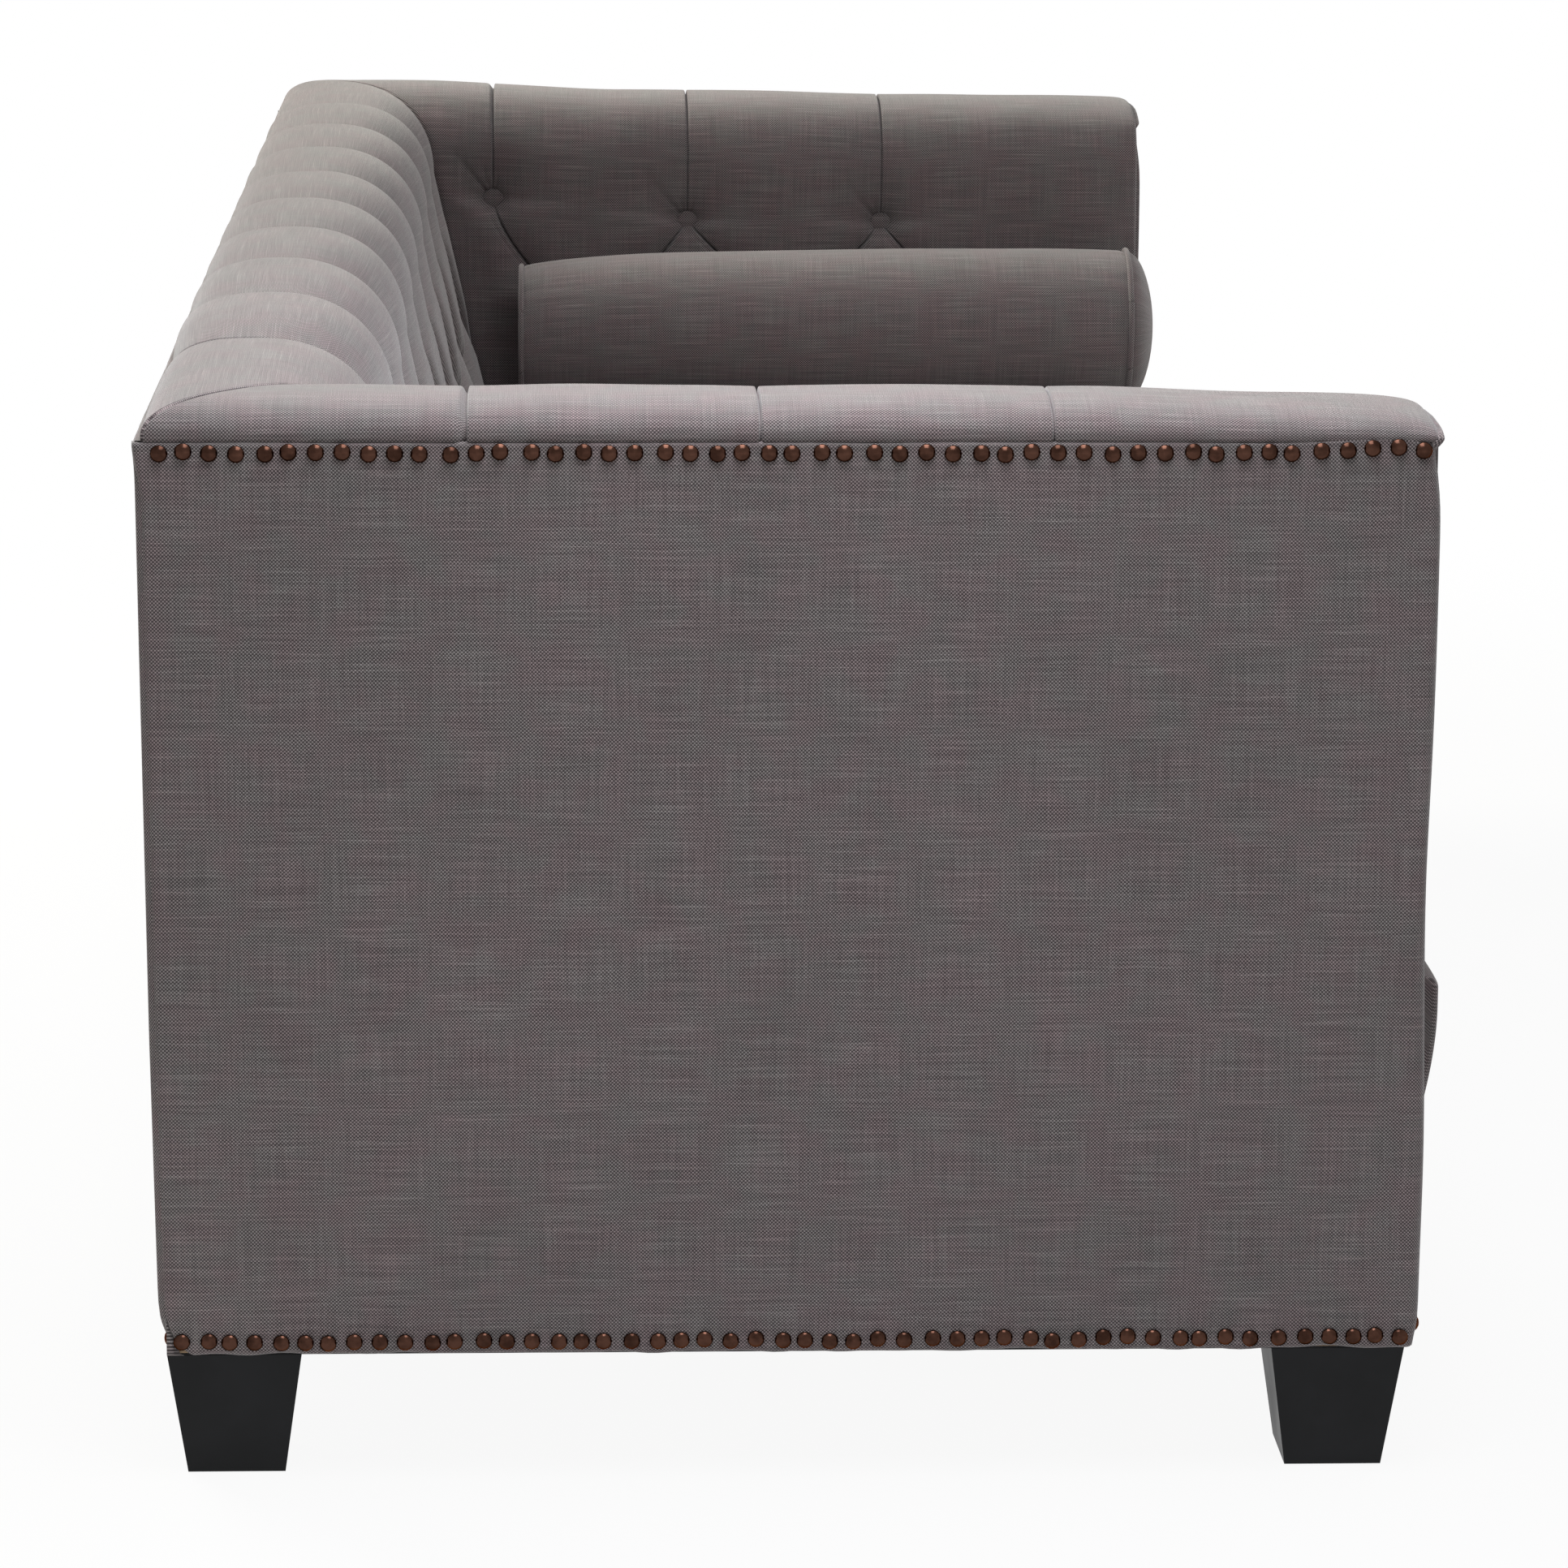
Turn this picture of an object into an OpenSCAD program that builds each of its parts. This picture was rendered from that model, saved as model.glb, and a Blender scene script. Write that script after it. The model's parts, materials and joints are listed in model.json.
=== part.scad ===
// Buttoned sofa with square arms level with the back, three loose seat cushions and two bolsters.
// X runs along the length, the seat opens towards -Y, and Z = 0 is the floor.

/* [Overall] */
// Length over the outsides of the arms
body_len = 2130; // [1980:10:2280]
// Depth from the arm fronts to the outside back
body_dep = 830; // [800:5:880]
// Height of the arm crown above the floor
arm_h = 715; // [700:5:760]
// Height of the crown above the outside top seam
crown_rise = 26; // [20:1:34]
// Extra rise of the back crown over the arm crown
back_rise = 15; // [0:1:24]

/* [Arms and back] */
// Thickness of an arm, and of the back at its shoulder
arm_t = 152; // [144:1:170]
// Distance from the crown down to the inside shoulder
shoulder_drop = 70; // [60:1:80]
// Lean of the inside back, in degrees
recline = 13.9; // [10:0.1:16]
// Thickness of the buttoned padding over the frame
pad_t = 32; // [30:1:38]
// Thickness of an outside panel with its cover
panel_t = 8; // [6:0.5:12]
// Crown of an outside arm panel
arm_panel_crown = 3; // [1:0.5:4]
// Crown of the outside back panel
back_panel_crown = 4; // [1:0.5:5]
// How far the outside back swells past the arm panels
back_swell = 1; // [0.5:0.5:4]

/* [Buttoning] */
// Distance between button columns on the back
back_pitch = 195; // [185:1:200]
// Distance between button columns on an arm
arm_pitch = 187; // [178:1:192]
// Distance from the outside back to the first button column of an arm
arm_first = 207; // [200:1:215]
// Height of the upper button row below the arm crown
row_one_drop = 106; // [98:1:112]
// Height of the lower button row below the upper one
row_gap = 126; // [110:1:135]
// Depth of a pleat at the button rows
pleat_depth = 17; // [12:0.5:18]
// Extra depth of the padding under a button
dimple_depth = 8; // [5:0.5:9]
// Diameter of a covered button
button_d = 21; // [18:0.5:24]

/* [Seat] */
// Height of the seat deck above the floor
deck_z = 300; // [290:1:310]
// Height of a seat cushion at its top seam, above the deck
cushion_h = 120; // [105:1:130]
// Rise of the cushion top over its seam
cushion_crown = 20; // [12:1:26]
// Reach of the padded front border ahead of the arm fronts
front_reach = 31; // [20:1:40]
// Reach of the cushion fronts ahead of the arm fronts
cushion_reach = 26; // [10:1:30]
// Diameter of a bolster
bolster_d = 150; // [130:1:160]
// Length of a bolster over its domed ends
bolster_len = 625; // [560:5:640]
// Depth of a bolster's domed end
bolster_dome = 20; // [12:1:26]
// Reach of a bolster ahead of the arm fronts
bolster_reach = 6; // [0:1:15]
// Thickness of the padded seat deck
deck_pad_t = 50; // [40:1:60]

/* [Legs] */
// Height of a leg
leg_h = 84; // [70:1:100]
// Width of a leg at its top
leg_top = 88; // [78:1:96]
// Width of a leg at the floor
leg_foot = 64; // [54:1:74]
// Inset of a leg's centre from the outside faces
leg_inset = 52; // [50:1:56]
// Diameter of a leg's hanger bolt
bolt_d = 8; // [6:0.5:10]

/* [Frame] */
// Thickness of the hardwood rails
wood_t = 22; // [18:1:25]
// Height of the side and back bottom rails
rail_h = 120; // [100:1:140]
// Height of the seat stretchers
stretcher_h = 60; // [45:1:80]
// Number of springs across the seat
spring_count = 9; // [7:1:11]
// Thickness of the spring wire
wire_t = 3.8; // [3:0.1:4.5]

/* [Hidden] */

// Clearance between pieces that seat on each other
fit = 0.3;
// How far a cutting shape runs past the face that it cuts
overrun = 1;

// Outside planes of the body
half_len = body_len / 2;
front_y = front_reach - (body_dep + front_reach + back_swell) / 2;
back_y = front_y + body_dep;
seam_z = arm_h - crown_rise;
shoulder_z = arm_h - shoulder_drop;
row_one_z = arm_h - row_one_drop;
row_two_z = row_one_z - row_gap;

// Outside planes of the frame, behind the panels
frame_x = half_len - panel_t - fit;
frame_front = front_y + panel_t + fit;
frame_back = back_y - panel_t - fit;
cover_t = 1.2;
base_z = leg_h + cover_t + fit;
frame_top = seam_z - wood_t + fit;
pad_rest_z = frame_top + fit;
inner_x = half_len - arm_t;
board_t = 5;
board_in = arm_t - pad_t - fit;

// Section of the rolled edge: a flattened arc outside and a rounder one inside
crown_share = 0.45;
outer_power_share = 0.77;
inner_power_share = 0.91;
crown_o = arm_t * crown_share;

// Thickness of the back at height z, under the shoulder
function back_t_at(z) = arm_t + max(0, shoulder_z - z) * tan(recline);
// Plane that carries the back padding, measured in from the outside back
function rest_o(z) = back_t_at(z) - pad_t;

// Point [o, z] of the rolled edge: o is measured in from the outside face, a goes 0 to 180
function roll(a) = a <= 90
    ? [crown_o * (1 - pow(cos(a), outer_power_share)),
       seam_z + fit + (crown_rise - fit) * pow(sin(a), outer_power_share)]
    : [crown_o + (arm_t - crown_o) * pow(-cos(a), inner_power_share),
       shoulder_z + shoulder_drop * pow(sin(a), inner_power_share)];

// Rows of the padding: the rolled edge, the diamonds between the button rows, and the skirt
roll_angles = [0, 24, 52, 90, 122, 150];
diamond_rows = 4;
skirt_shares = [0.5, 1];
row_a = len(roll_angles);
row_b = row_a + diamond_rows;
row_end = row_b + len(skirt_shares);
pad_foot_z = deck_z + fit;
pleat_shares = [0, 0.2, 0.34, 0.4, 0.6, 0.85, 1, 1, 1, 1, 1, 0.6, 0.3];

function row_z(j) = j < row_a ? roll(roll_angles[j])[1]
    : j <= row_b ? row_one_z - row_gap * (j - row_a) / diamond_rows
    : row_two_z + (pad_foot_z - row_two_z) * skirt_shares[j - row_b - 1];
function arm_o(j) = j < row_a ? roll(roll_angles[j])[0] : arm_t;
function back_o(j) = j < row_a ? roll(roll_angles[j])[0] : back_t_at(row_z(j));
// Place of a row between the upper (0) and lower (1) button rows
function row_place(j) = (j - row_a) / diamond_rows;

function clip(v, lo, hi) = min(max(v, lo), hi);
// Distance, in half pitches, from place c to the nearest column of lo, lo + 1 ... hi
function off_column(c, lo, hi) = min(1, 2 * abs(c - lo - clip(round(c - lo), 0, hi - lo)));
// Distance from the nearest pleat: straight above the upper buttons, which stand at columns
// ups[0] to ups[1], and under the lower ones, lows[0] to lows[1], and along the diamonds between
function off_pleat(c, b, ups, lows) =
    let (wa = off_column(c, ups[0], ups[1]), wb = off_column(c, lows[0], lows[1]))
    b <= 0 ? wa : b >= 1 ? wb : max(wa - b, wb - 1 + b, 0);
// Fullness of the padding, 0 in a pleat and 1 on a puff
puff_power_share = 2.2;
function fullness(w) = 1 - pow(1 - w, puff_power_share);

// Unit normal of a section at row j, from its neighbours, pointing away from the frame
function unit(v) = v / norm(v);
function arm_row(j) = [arm_o(j), row_z(j)];
function back_row(j) = [back_o(j), row_z(j)];
function turned(v) = [-v[1], v[0]];
function arm_normal(j) = j == 0 ? [-1, 0]
    : unit(turned(arm_row(min(j + 1, row_end)) - arm_row(j - 1)));
function back_normal(j) = j == 0 ? [-1, 0]
    : unit(turned(back_row(min(j + 1, row_end)) - back_row(j - 1)));

// Columns of the back padding, from corner to corner, as places in pitches
columns_per_pitch = 8;
corner_cols = 4;
back_end = inner_x / back_pitch;
// Columns stand either side of the middle one, with half a pitch or more left to the corner
last_col = floor(back_end - 0.5);
back_ups = [-last_col, last_col];
back_lows = [-last_col - 0.5, last_col + 0.5];
corner_near_share = 0.001;
function in_corner(c) = abs(c) > back_end - corner_near_share;
back_places = [
    for (k = [corner_cols:-1:1]) -last_col - (back_end - last_col) * k / corner_cols,
    for (k = [0:2 * last_col * columns_per_pitch]) -last_col + k / columns_per_pitch,
    for (k = [1:corner_cols]) last_col + (back_end - last_col) * k / corner_cols
];
function back_x(c, o) = abs(c) <= last_col ? c * back_pitch
    : sign(c) * (last_col * back_pitch
        + (half_len - o - last_col * back_pitch) * (abs(c) - last_col) / (back_end - last_col));
// Share of fullness that is left near the corner seam
function near_corner(d) = 1 - pow(1 - min(1, d), 2);
corner_reach_share = 0.6;
lift_reach_share = 1.2;
function back_lift(c) = back_rise * near_corner((back_end - abs(c)) / lift_reach_share);
// The top seam and the rows under the shoulder keep their height, the crown takes the whole rise
function lift_share(j) = j < len(roll_angles) && roll_angles[j] <= 90
    ? (row_z(j) - seam_z - fit) / (crown_rise - fit)
    : clip((row_z(j) - row_one_z) / (arm_h - row_one_z), 0, 1);

// Depth of the padding's surface under its section at place c, row j
function sink(full, j, at_button) =
    pleat_depth * pleat_shares[j] * (1 - full) + (at_button ? dimple_depth : 0);
// Whether place c is one of the columns cols[0] to cols[1], to half a column of the mesh
function near_column(c, cols) =
    c > cols[0] - 0.5 / columns_per_pitch && c < cols[1] + 0.5 / columns_per_pitch
    && abs(c - cols[0] - round(c - cols[0])) < 0.5 / columns_per_pitch;
function on_button(c, j, ups, lows) =
    (j == row_a && near_column(c, ups)) || (j == row_b && near_column(c, lows));
// The last row stays level on the seat deck
function tilt(j, n) = j == row_end ? 0 : n[1];

function back_sink(c, j) = let (
        full = fullness(off_pleat(c, row_place(j), back_ups, back_lows))
            * near_corner((back_end - abs(c)) / (back_end - last_col) / corner_reach_share))
    sink(full, j, on_button(c, j, back_ups, [0.5 - last_col, last_col - 0.5]));
function back_point(c, j) = let (
        n = in_corner(c) ? arm_normal(j) : back_normal(j),
        d = back_sink(c, j),
        x = back_x(c, arm_o(j) - (in_corner(c) ? d * n[0] : 0)),
        z = row_z(j))
    [x - (in_corner(c) ? sign(c) * fit : 0),
     back_y - back_o(j) + d * n[0],
     z + back_lift(c) * lift_share(j) - d * tilt(j, n)];
// The carried side of the padding: over the panel, the top rail, and down the frame
carried_rows = 4;
function carried_z(k) = [seam_z + fit, pad_rest_z, pad_rest_z, pad_foot_z][k];
function back_carried(k) = [panel_t + fit, panel_t + fit, rest_o(pad_rest_z), rest_o(pad_foot_z)][k];
function arm_carried(k) = [panel_t + fit, panel_t + fit, arm_t - pad_t, arm_t - pad_t][k];
// Outside rows that each carried row is joined to across an end: from its own to the next one's
end_rows = [0, 2, row_a - 1, row_a + 2, row_end];
function back_ring(c) = [
    for (j = [0:row_end]) back_point(c, j),
    for (k = [carried_rows - 1:-1:0])
        [back_x(c, arm_carried(k)) - (in_corner(c) ? sign(c) * fit : 0),
         back_y - back_carried(k), carried_z(k)]
];

// Columns of an arm's padding, from the back corner to the front, as places in pitches
arm_first_y = back_y - arm_first;
pad_front_y = front_y + panel_t + fit;
arm_last_col = floor((arm_first_y - pad_front_y) / arm_pitch - 0.5);
arm_ups = [0, arm_last_col];
arm_lows = [0.5, arm_last_col + 0.5];
arm_last_y = arm_first_y - arm_last_col * arm_pitch;
arm_end = arm_last_col + (arm_last_y - pad_front_y) / arm_pitch;
corner_margin = 46;
arm_low_pitch = (min(arm_first_y, back_y - back_o(row_b) - corner_margin) - arm_last_y) / arm_last_col;
arm_corner_cols = 2;
arm_start = -arm_corner_cols / columns_per_pitch;
front_cols = 8;
arm_places = [
    for (k = [arm_corner_cols:-1:1]) -k / columns_per_pitch,
    for (k = [0:arm_last_col * columns_per_pitch]) k / columns_per_pitch,
    for (k = [1:front_cols]) arm_last_col + (arm_end - arm_last_col) * k / front_cols
];
function arm_y(c, o) = let (
        corner = back_y - o,
        first = min(arm_first_y, corner - corner_margin))
    c < 0 ? first + (corner - first) * c / arm_start
    : c <= arm_last_col ? first + (arm_last_y - first) * c / arm_last_col
    : arm_last_y + (pad_front_y - arm_last_y) * (c - arm_last_col) / (arm_end - arm_last_col);
// The crown slopes gently down along the arm, then rounds down at its front
slope_from = 250;
slope_to = 100;
slope_share = 0.2;
nose_len = 13;
nose_share = 0.6;
function front_round(y) = let (
        v = y - front_y,
        u = clip((slope_from - v) / (slope_from - slope_to), 0, 1))
    1 - slope_share * u * u * (3 - 2 * u) - nose_share * exp(-v / nose_len);
function front_drop(z, y) = z <= seam_z ? 0 : (z - seam_z) * (1 - front_round(y));
function arm_sink(c, j) = let (
        full = fullness(off_pleat(c, row_place(j), arm_ups, arm_lows))
            * near_corner((c - arm_start) / -arm_start / corner_reach_share),
        fade = c > arm_last_col ? 1 - (c - arm_last_col) / (arm_end - arm_last_col) : 1)
    fade * sink(full, j, on_button(c, j, arm_ups, arm_lows));
function arm_point(c, j) = let (
        n = arm_normal(j),
        d = arm_sink(c, j),
        y = arm_y(c, back_o(j) - (c == arm_start ? d * n[0] : 0)) - (c == arm_start ? fit : 0),
        z = row_z(j) - d * tilt(j, n))
    [half_len - arm_o(j) + d * n[0], y, z - front_drop(z, y)];
function arm_ring(c) = [
    for (j = [0:row_end]) arm_point(c, j),
    for (k = [carried_rows - 1:-1:0]) let (
            y = arm_y(c, back_carried(k)) - (c == arm_start ? fit : 0),
            z = carried_z(k))
        [half_len - arm_carried(k), y, z - (k == 0 ? front_drop(z, y) : 0)]
];

// Closed solid from rings of points, with each end closed by a strip of triangles
function ring_len() = row_end + 1 + carried_rows;
function carried_index(k) = row_end + carried_rows - k;
function end_faces(base) = [
    for (k = [0:carried_rows - 1]) for (j = [end_rows[k]:end_rows[k + 1] - 1])
        [base + carried_index(k), base + j, base + j + 1],
    for (k = [0:carried_rows - 2])
        [base + carried_index(k), base + end_rows[k + 1], base + carried_index(k + 1)]
];
function flipped(faces) = [for (f = faces) [f[2], f[1], f[0]]];
// Triangles between two rings, split towards the nearer pleat so that the folds stay straight
function band_faces(i, leans) = let (n = ring_len(), p = i * n, q = p + n) [
    for (j = [0:n - 1]) let (k = (j + 1) % n) each
        leans[j] ? [[p + j, q + j, q + k], [p + j, q + k, p + k]]
            : [[p + j, q + j, p + k], [q + j, q + k, p + k]]
];
function lean_row(places, i) = [
    for (j = [0:ring_len() - 1])
        j < row_a || j >= row_b ? true
        : floor(2 * (places[i] + places[i + 1]) / 2) % 2 == 0
];
module padding(places, rings) {
    last = len(places) - 1;
    points = [for (r = rings) each r];
    faces = [
        for (i = [0:last - 1]) each band_faces(i, lean_row(places, i)),
        each end_faces(0),
        each flipped(end_faces(last * ring_len()))
    ];
    polyhedron(points, faces, convexity = 8);
}

// Buttons: a domed face over a coned back that fits its dimple
button_face_h = 4.5;
button_rim_h = 1.6;
// The coned back is as steep as the padding beside a dimple
dimple_slope = (pleat_depth * fullness(2 / columns_per_pitch) + dimple_depth)
    / (min(arm_low_pitch, back_pitch) / columns_per_pitch);
button_cone_h = button_d / 2 * dimple_slope + fit;
dome_steps = 6;
module button() {
    r = button_d / 2;
    rotate_extrude($fn = 48)
        polygon([
            [0, 0],
            [r, button_cone_h],
            for (k = [0:dome_steps - 1])
                [r * cos(90 * k / dome_steps),
                 button_cone_h + button_rim_h + button_face_h * sin(90 * k / dome_steps)],
            [0, button_cone_h + button_rim_h + button_face_h]
        ]);
}
// Angle between straight up and a section's normal
function lean(n) = atan2(n[0], n[1]);

// Outside panels: flat behind, crowned in front
panel_steps_x = 10;
panel_steps_z = 8;
function crowned(u, v) = (1 - pow(2 * u - 1, 4)) * (1 - pow(2 * v - 1, 4));
function grid(i, j) = i * (panel_steps_z + 1) + j;
function panel_edge() = [
    for (i = [0:panel_steps_x - 1]) grid(i, 0),
    for (j = [0:panel_steps_z - 1]) grid(panel_steps_x, j),
    for (i = [panel_steps_x:-1:1]) grid(i, panel_steps_z),
    for (j = [panel_steps_z:-1:1]) grid(0, j)
];
module crowned_panel(w, h, t, crown) {
    edge = panel_edge();
    n = len(edge);
    front = [
        for (i = [0:panel_steps_x]) for (j = [0:panel_steps_z])
            let (u = i / panel_steps_x, v = j / panel_steps_z)
            [w * u, crown * (1 - crowned(u, v)), h * v]
    ];
    back = [for (e = edge) [front[e][0], t, front[e][2]]];
    first_back = len(front);
    centre = first_back + n;
    faces = [
        for (i = [0:panel_steps_x - 1]) for (j = [0:panel_steps_z - 1]) each [
            [grid(i, j), grid(i, j + 1), grid(i + 1, j + 1)],
            [grid(i, j), grid(i + 1, j + 1), grid(i + 1, j)]
        ],
        for (k = [0:n - 1]) let (m = (k + 1) % n) each [
            [edge[k], edge[m], first_back + m],
            [edge[k], first_back + m, first_back + k],
            [first_back + k, first_back + m, centre]
        ]
    ];
    polyhedron(concat(front, back, [[w / 2, t, h / 2]]), faces, convexity = 2);
}

// Seat cushions: rings from the flat foot, round the boxed side, over the crowned top
cushion_gap = 0.6;
cushion_w = (2 * inner_x - 4 * cushion_gap) / 3;
cushion_front = front_y - cushion_reach;
cushion_back = back_y - back_t_at(deck_z + fit) - 2 * fit;
cushion_dep = cushion_back - cushion_front;
edge_soften = 9;
ring_points = 40;
ring_side = ring_points / 4;
corner_power_share = 16;
side_z_shares = [0, 0.1, 0.3, 0.6, 0.88, 1];
side_in_shares = [1, 0.3, 0, 0, 0.3, 0.8];
top_r_shares = [0.93, 0.8, 0.6, 0.35];
// Places around a unit square, and the same drawn in to rounded corners
function square_place(i) = let (
        t = 2 * ((i % ring_side) + 0.5) / ring_side - 1)
    [[1, t], [-t, 1], [-1, -t], [t, -1]][floor(i / ring_side)];
function rounded(p) = let (n = corner_power_share)
    p / pow(pow(abs(p[0]), n) + pow(abs(p[1]), n), 1 / n);
function top_rise(r) = cushion_crown * (1 - pow(r, 3));
function cushion_point(i, r, inset, z) = let (
        u = rounded(square_place(i))[0] * r,
        v = rounded(square_place(i))[1] * r)
    [u * (cushion_w / 2 - inset),
     (cushion_front + cushion_back) / 2 + v * (cushion_dep / 2 - inset)
        + (z * tan(recline)) * (1 + v) / 2,
     deck_z + fit + z];
module cushion() {
    side = len(side_z_shares);
    rings = side + len(top_r_shares);
    points = [
        for (k = [0:side - 1]) for (i = [0:ring_points - 1])
            cushion_point(i, 1, edge_soften * side_in_shares[k], (cushion_h - fit) * side_z_shares[k]),
        for (r = top_r_shares) for (i = [0:ring_points - 1])
            cushion_point(i, r, edge_soften, cushion_h - fit + top_rise(r)),
        cushion_point(0, 0, 0, 0),
        cushion_point(0, 0, 0, cushion_h - fit + top_rise(0))
    ];
    foot = rings * ring_points;
    faces = [
        for (k = [0:rings - 2]) for (i = [0:ring_points - 1])
            let (m = (i + 1) % ring_points, p = k * ring_points, q = p + ring_points) each [
                [p + i, q + i, q + m],
                [p + i, q + m, p + m]
            ],
        for (i = [0:ring_points - 1]) let (m = (i + 1) % ring_points) each [
            [foot, i, m],
            [foot + 1, foot - ring_points + m, foot - ring_points + i]
        ]
    ];
    polyhedron(points, faces, convexity = 2);
}

// Bolster: a full roll with domed, drawn-in ends, seated on the outer cushion beside the arm
bolster_x = inner_x - bolster_d / 2 - 2 * fit;
cushion_x = cushion_w + cushion_gap;
bolster_z = deck_z + cushion_h + bolster_d / 2 + fit
    + top_rise((bolster_x - cushion_x) / (cushion_w / 2));
bolster_front = front_y - bolster_reach;
bolster_swell = 4;
bolster_steps = 12;
dome_ring_steps = 5;
module bolster() {
    r = bolster_d / 2;
    straight = bolster_len - 2 * bolster_dome;
    half = [
        for (k = [0:dome_ring_steps])
            let (a = 90 * k / dome_ring_steps)
            [(r - bolster_swell) * sin(a), bolster_dome * (1 - cos(a))],
        for (k = [1:bolster_steps - 1])
            let (u = k / bolster_steps)
            [r - bolster_swell + bolster_swell * sin(180 * u), bolster_dome + straight * u],
        for (k = [dome_ring_steps:-1:0])
            let (a = 90 * k / dome_ring_steps)
            [(r - bolster_swell) * sin(a), bolster_len - bolster_dome * (1 - cos(a))]
    ];
    translate([bolster_x, bolster_front, bolster_z])
        rotate([-90, 0, 0])
            rotate_extrude($fn = 96)
                polygon(half);
}

// Seat suspension
clip_reach = 12;
clip_t = 2;
clip_w = 30;
rail_over_spring = 11;
spring_z = deck_z - deck_pad_t - wire_t - clip_t - 2 * fit;
front_rail_top = spring_z + rail_over_spring;
seat_rail_in = 5;
seat_rail_o = back_t_at(deck_z) - pad_t + seat_rail_in;
seat_rail_h = 58;
spring_front = frame_front + wood_t + fit;
spring_back = back_y - seat_rail_o - wood_t - 2 * fit;
spring_waves = 20;
spring_half_w = 26;
spring_pitch = (spring_back - spring_front - clip_reach) / spring_waves;
bend_steps = 3;
deck_under = deck_z - deck_pad_t;
function spring_x(i) = (i - (spring_count - 1) / 2) * (2 * inner_x / spring_count);
// Edge of the wire at distance d from the centre line of the bend after bar k
function bend_edge(k, d) = let (
        s = k % 2 == 0 ? 1 : -1,
        y = spring_pitch * (k + 0.5),
        x = spring_half_w - spring_pitch / 2)
    [for (m = [0:bend_steps]) let (a = -90 + 180 * m / bend_steps)
        [s * (x + (spring_pitch / 2 + s * d) * cos(a)), y + (spring_pitch / 2 + s * d) * sin(a)]];
function wire_side(d) = [
    [-clip_w / 2, -d],
    for (k = [0:spring_waves - 1]) each bend_edge(k, d),
    [(spring_waves % 2 == 0 ? 1 : -1) * clip_w / 2, spring_pitch * spring_waves - d]
];
function reversed(v) = [for (i = [len(v) - 1:-1:0]) v[i]];

// Frame positions that several pieces share
upright_mid_x = inner_x / 3;
upright_end_x = half_len - arm_t + pad_t - wood_t / 2 - fit;
web_t = 1.6;
web_w = 50;
web_count = 12;
liner_h = 60;
liner_z = deck_z + fit;
function web_o(z) = rest_o(z) - fit;
function upright_o(z) = web_o(z) - web_t - fit;

// Board between two corner points
module board(lo, hi) {
    translate(lo) cube(hi - lo);
}
// Outline given as [y, z] points, drawn along X from x0 to x1
module along_x(x0, x1, outline) {
    translate([x0, 0, 0])
        rotate([90, 0, 90])
            linear_extrude(height = x1 - x0)
                polygon(outline);
}
module mirrored(side) {
    mirror([side < 0 ? 1 : 0, 0, 0])
        children();
}

module front_rail() {
    color("burlywood")
        board([-inner_x - pad_t + fit, frame_front, base_z],
            [inner_x + pad_t - fit, frame_front + wood_t, front_rail_top]);
}
module back_rail() {
    color("burlywood")
        board([-frame_x + wood_t + fit, frame_back - wood_t, base_z],
            [frame_x - wood_t - fit, frame_back, base_z + rail_h]);
}
post_w = 60;
module side_rail(side) {
    color("burlywood")
        mirrored(side)
            board([frame_x - wood_t, frame_front + wood_t + fit, base_z],
                [frame_x, frame_back - post_w - fit, base_z + rail_h]);
}
module seat_stretcher(side) {
    x = upright_mid_x - wood_t - fit;
    color("burlywood")
        mirrored(side)
            board([x - wood_t / 2, frame_front + wood_t + fit, base_z],
                [x + wood_t / 2 - fit, frame_back - wood_t - fit, base_z + stretcher_h]);
}
module seat_back_rail() {
    y = back_y - seat_rail_o;
    color("burlywood")
        board([-inner_x - pad_t + fit, y - wood_t, spring_z + wire_t - seat_rail_h],
            [inner_x + pad_t - fit, y, spring_z + wire_t]);
}

// Triangular glue blocks that the legs bolt into
block_w = 84;
block_h = 60;
block_corner = 30;
plate_t = 2.5;
plate_w = 2 * (leg_inset - panel_t - wood_t - 3 * fit);
bolt_slack = 0.6;
leg_x = half_len - leg_inset;
leg_ys = [front_y + leg_inset, back_y - leg_inset];
block_z = base_z + plate_t + fit;
module corner_block(toward) {
    x = frame_x - wood_t - fit;
    y = toward < 0 ? frame_front + wood_t + fit : frame_back - wood_t - fit;
    difference() {
        translate([x, y, block_z])
            linear_extrude(height = block_h)
                polygon([
                    [0, 0],
                    [-block_w, 0],
                    [-block_w, -toward * block_corner],
                    [-block_corner, -toward * block_w],
                    [0, -toward * block_w]
                ]);
        translate([leg_x, leg_ys[toward < 0 ? 0 : 1], block_z - overrun])
            cylinder(h = block_h + 2 * overrun, d = bolt_d + bolt_slack, $fn = 32);
    }
}
module corner_blocks() {
    color("tan")
        for (side = [-1, 1])
            for (toward = [-1, 1])
                mirrored(side) corner_block(toward);
}

// Front board of an arm, cut to the arm's section less the padding
board_top_share = 0.86;
module arm_front_board(side) {
    inner = board_in + fit;
    color("burlywood")
        mirrored(side)
            translate([half_len, frame_front + wood_t, 0])
                rotate([90, 0, 0])
                    linear_extrude(height = wood_t)
                        polygon([
                            [-panel_t - fit, base_z],
                            [-panel_t - fit, frame_top],
                            [-inner * board_top_share, frame_top],
                            [-inner, frame_top - inner * (1 - board_top_share)],
                            [-inner, base_z]
                        ]);
}
module rear_post(side) {
    color("burlywood")
        mirrored(side)
            board([frame_x - wood_t, frame_back - post_w, base_z],
                [frame_x, frame_back, frame_top - wood_t - fit]);
}
module arm_top_rail(side) {
    color("burlywood")
        mirrored(side)
            board([half_len - board_in + board_t + fit, frame_front + wood_t + fit, frame_top - wood_t],
                [frame_x, frame_back, frame_top]);
}
module arm_tack_rail(side) {
    color("burlywood")
        mirrored(side)
            board([half_len - board_in, frame_front + wood_t + fit, deck_z - liner_h],
                [half_len - board_in + wood_t, frame_back, deck_z]);
}
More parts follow.
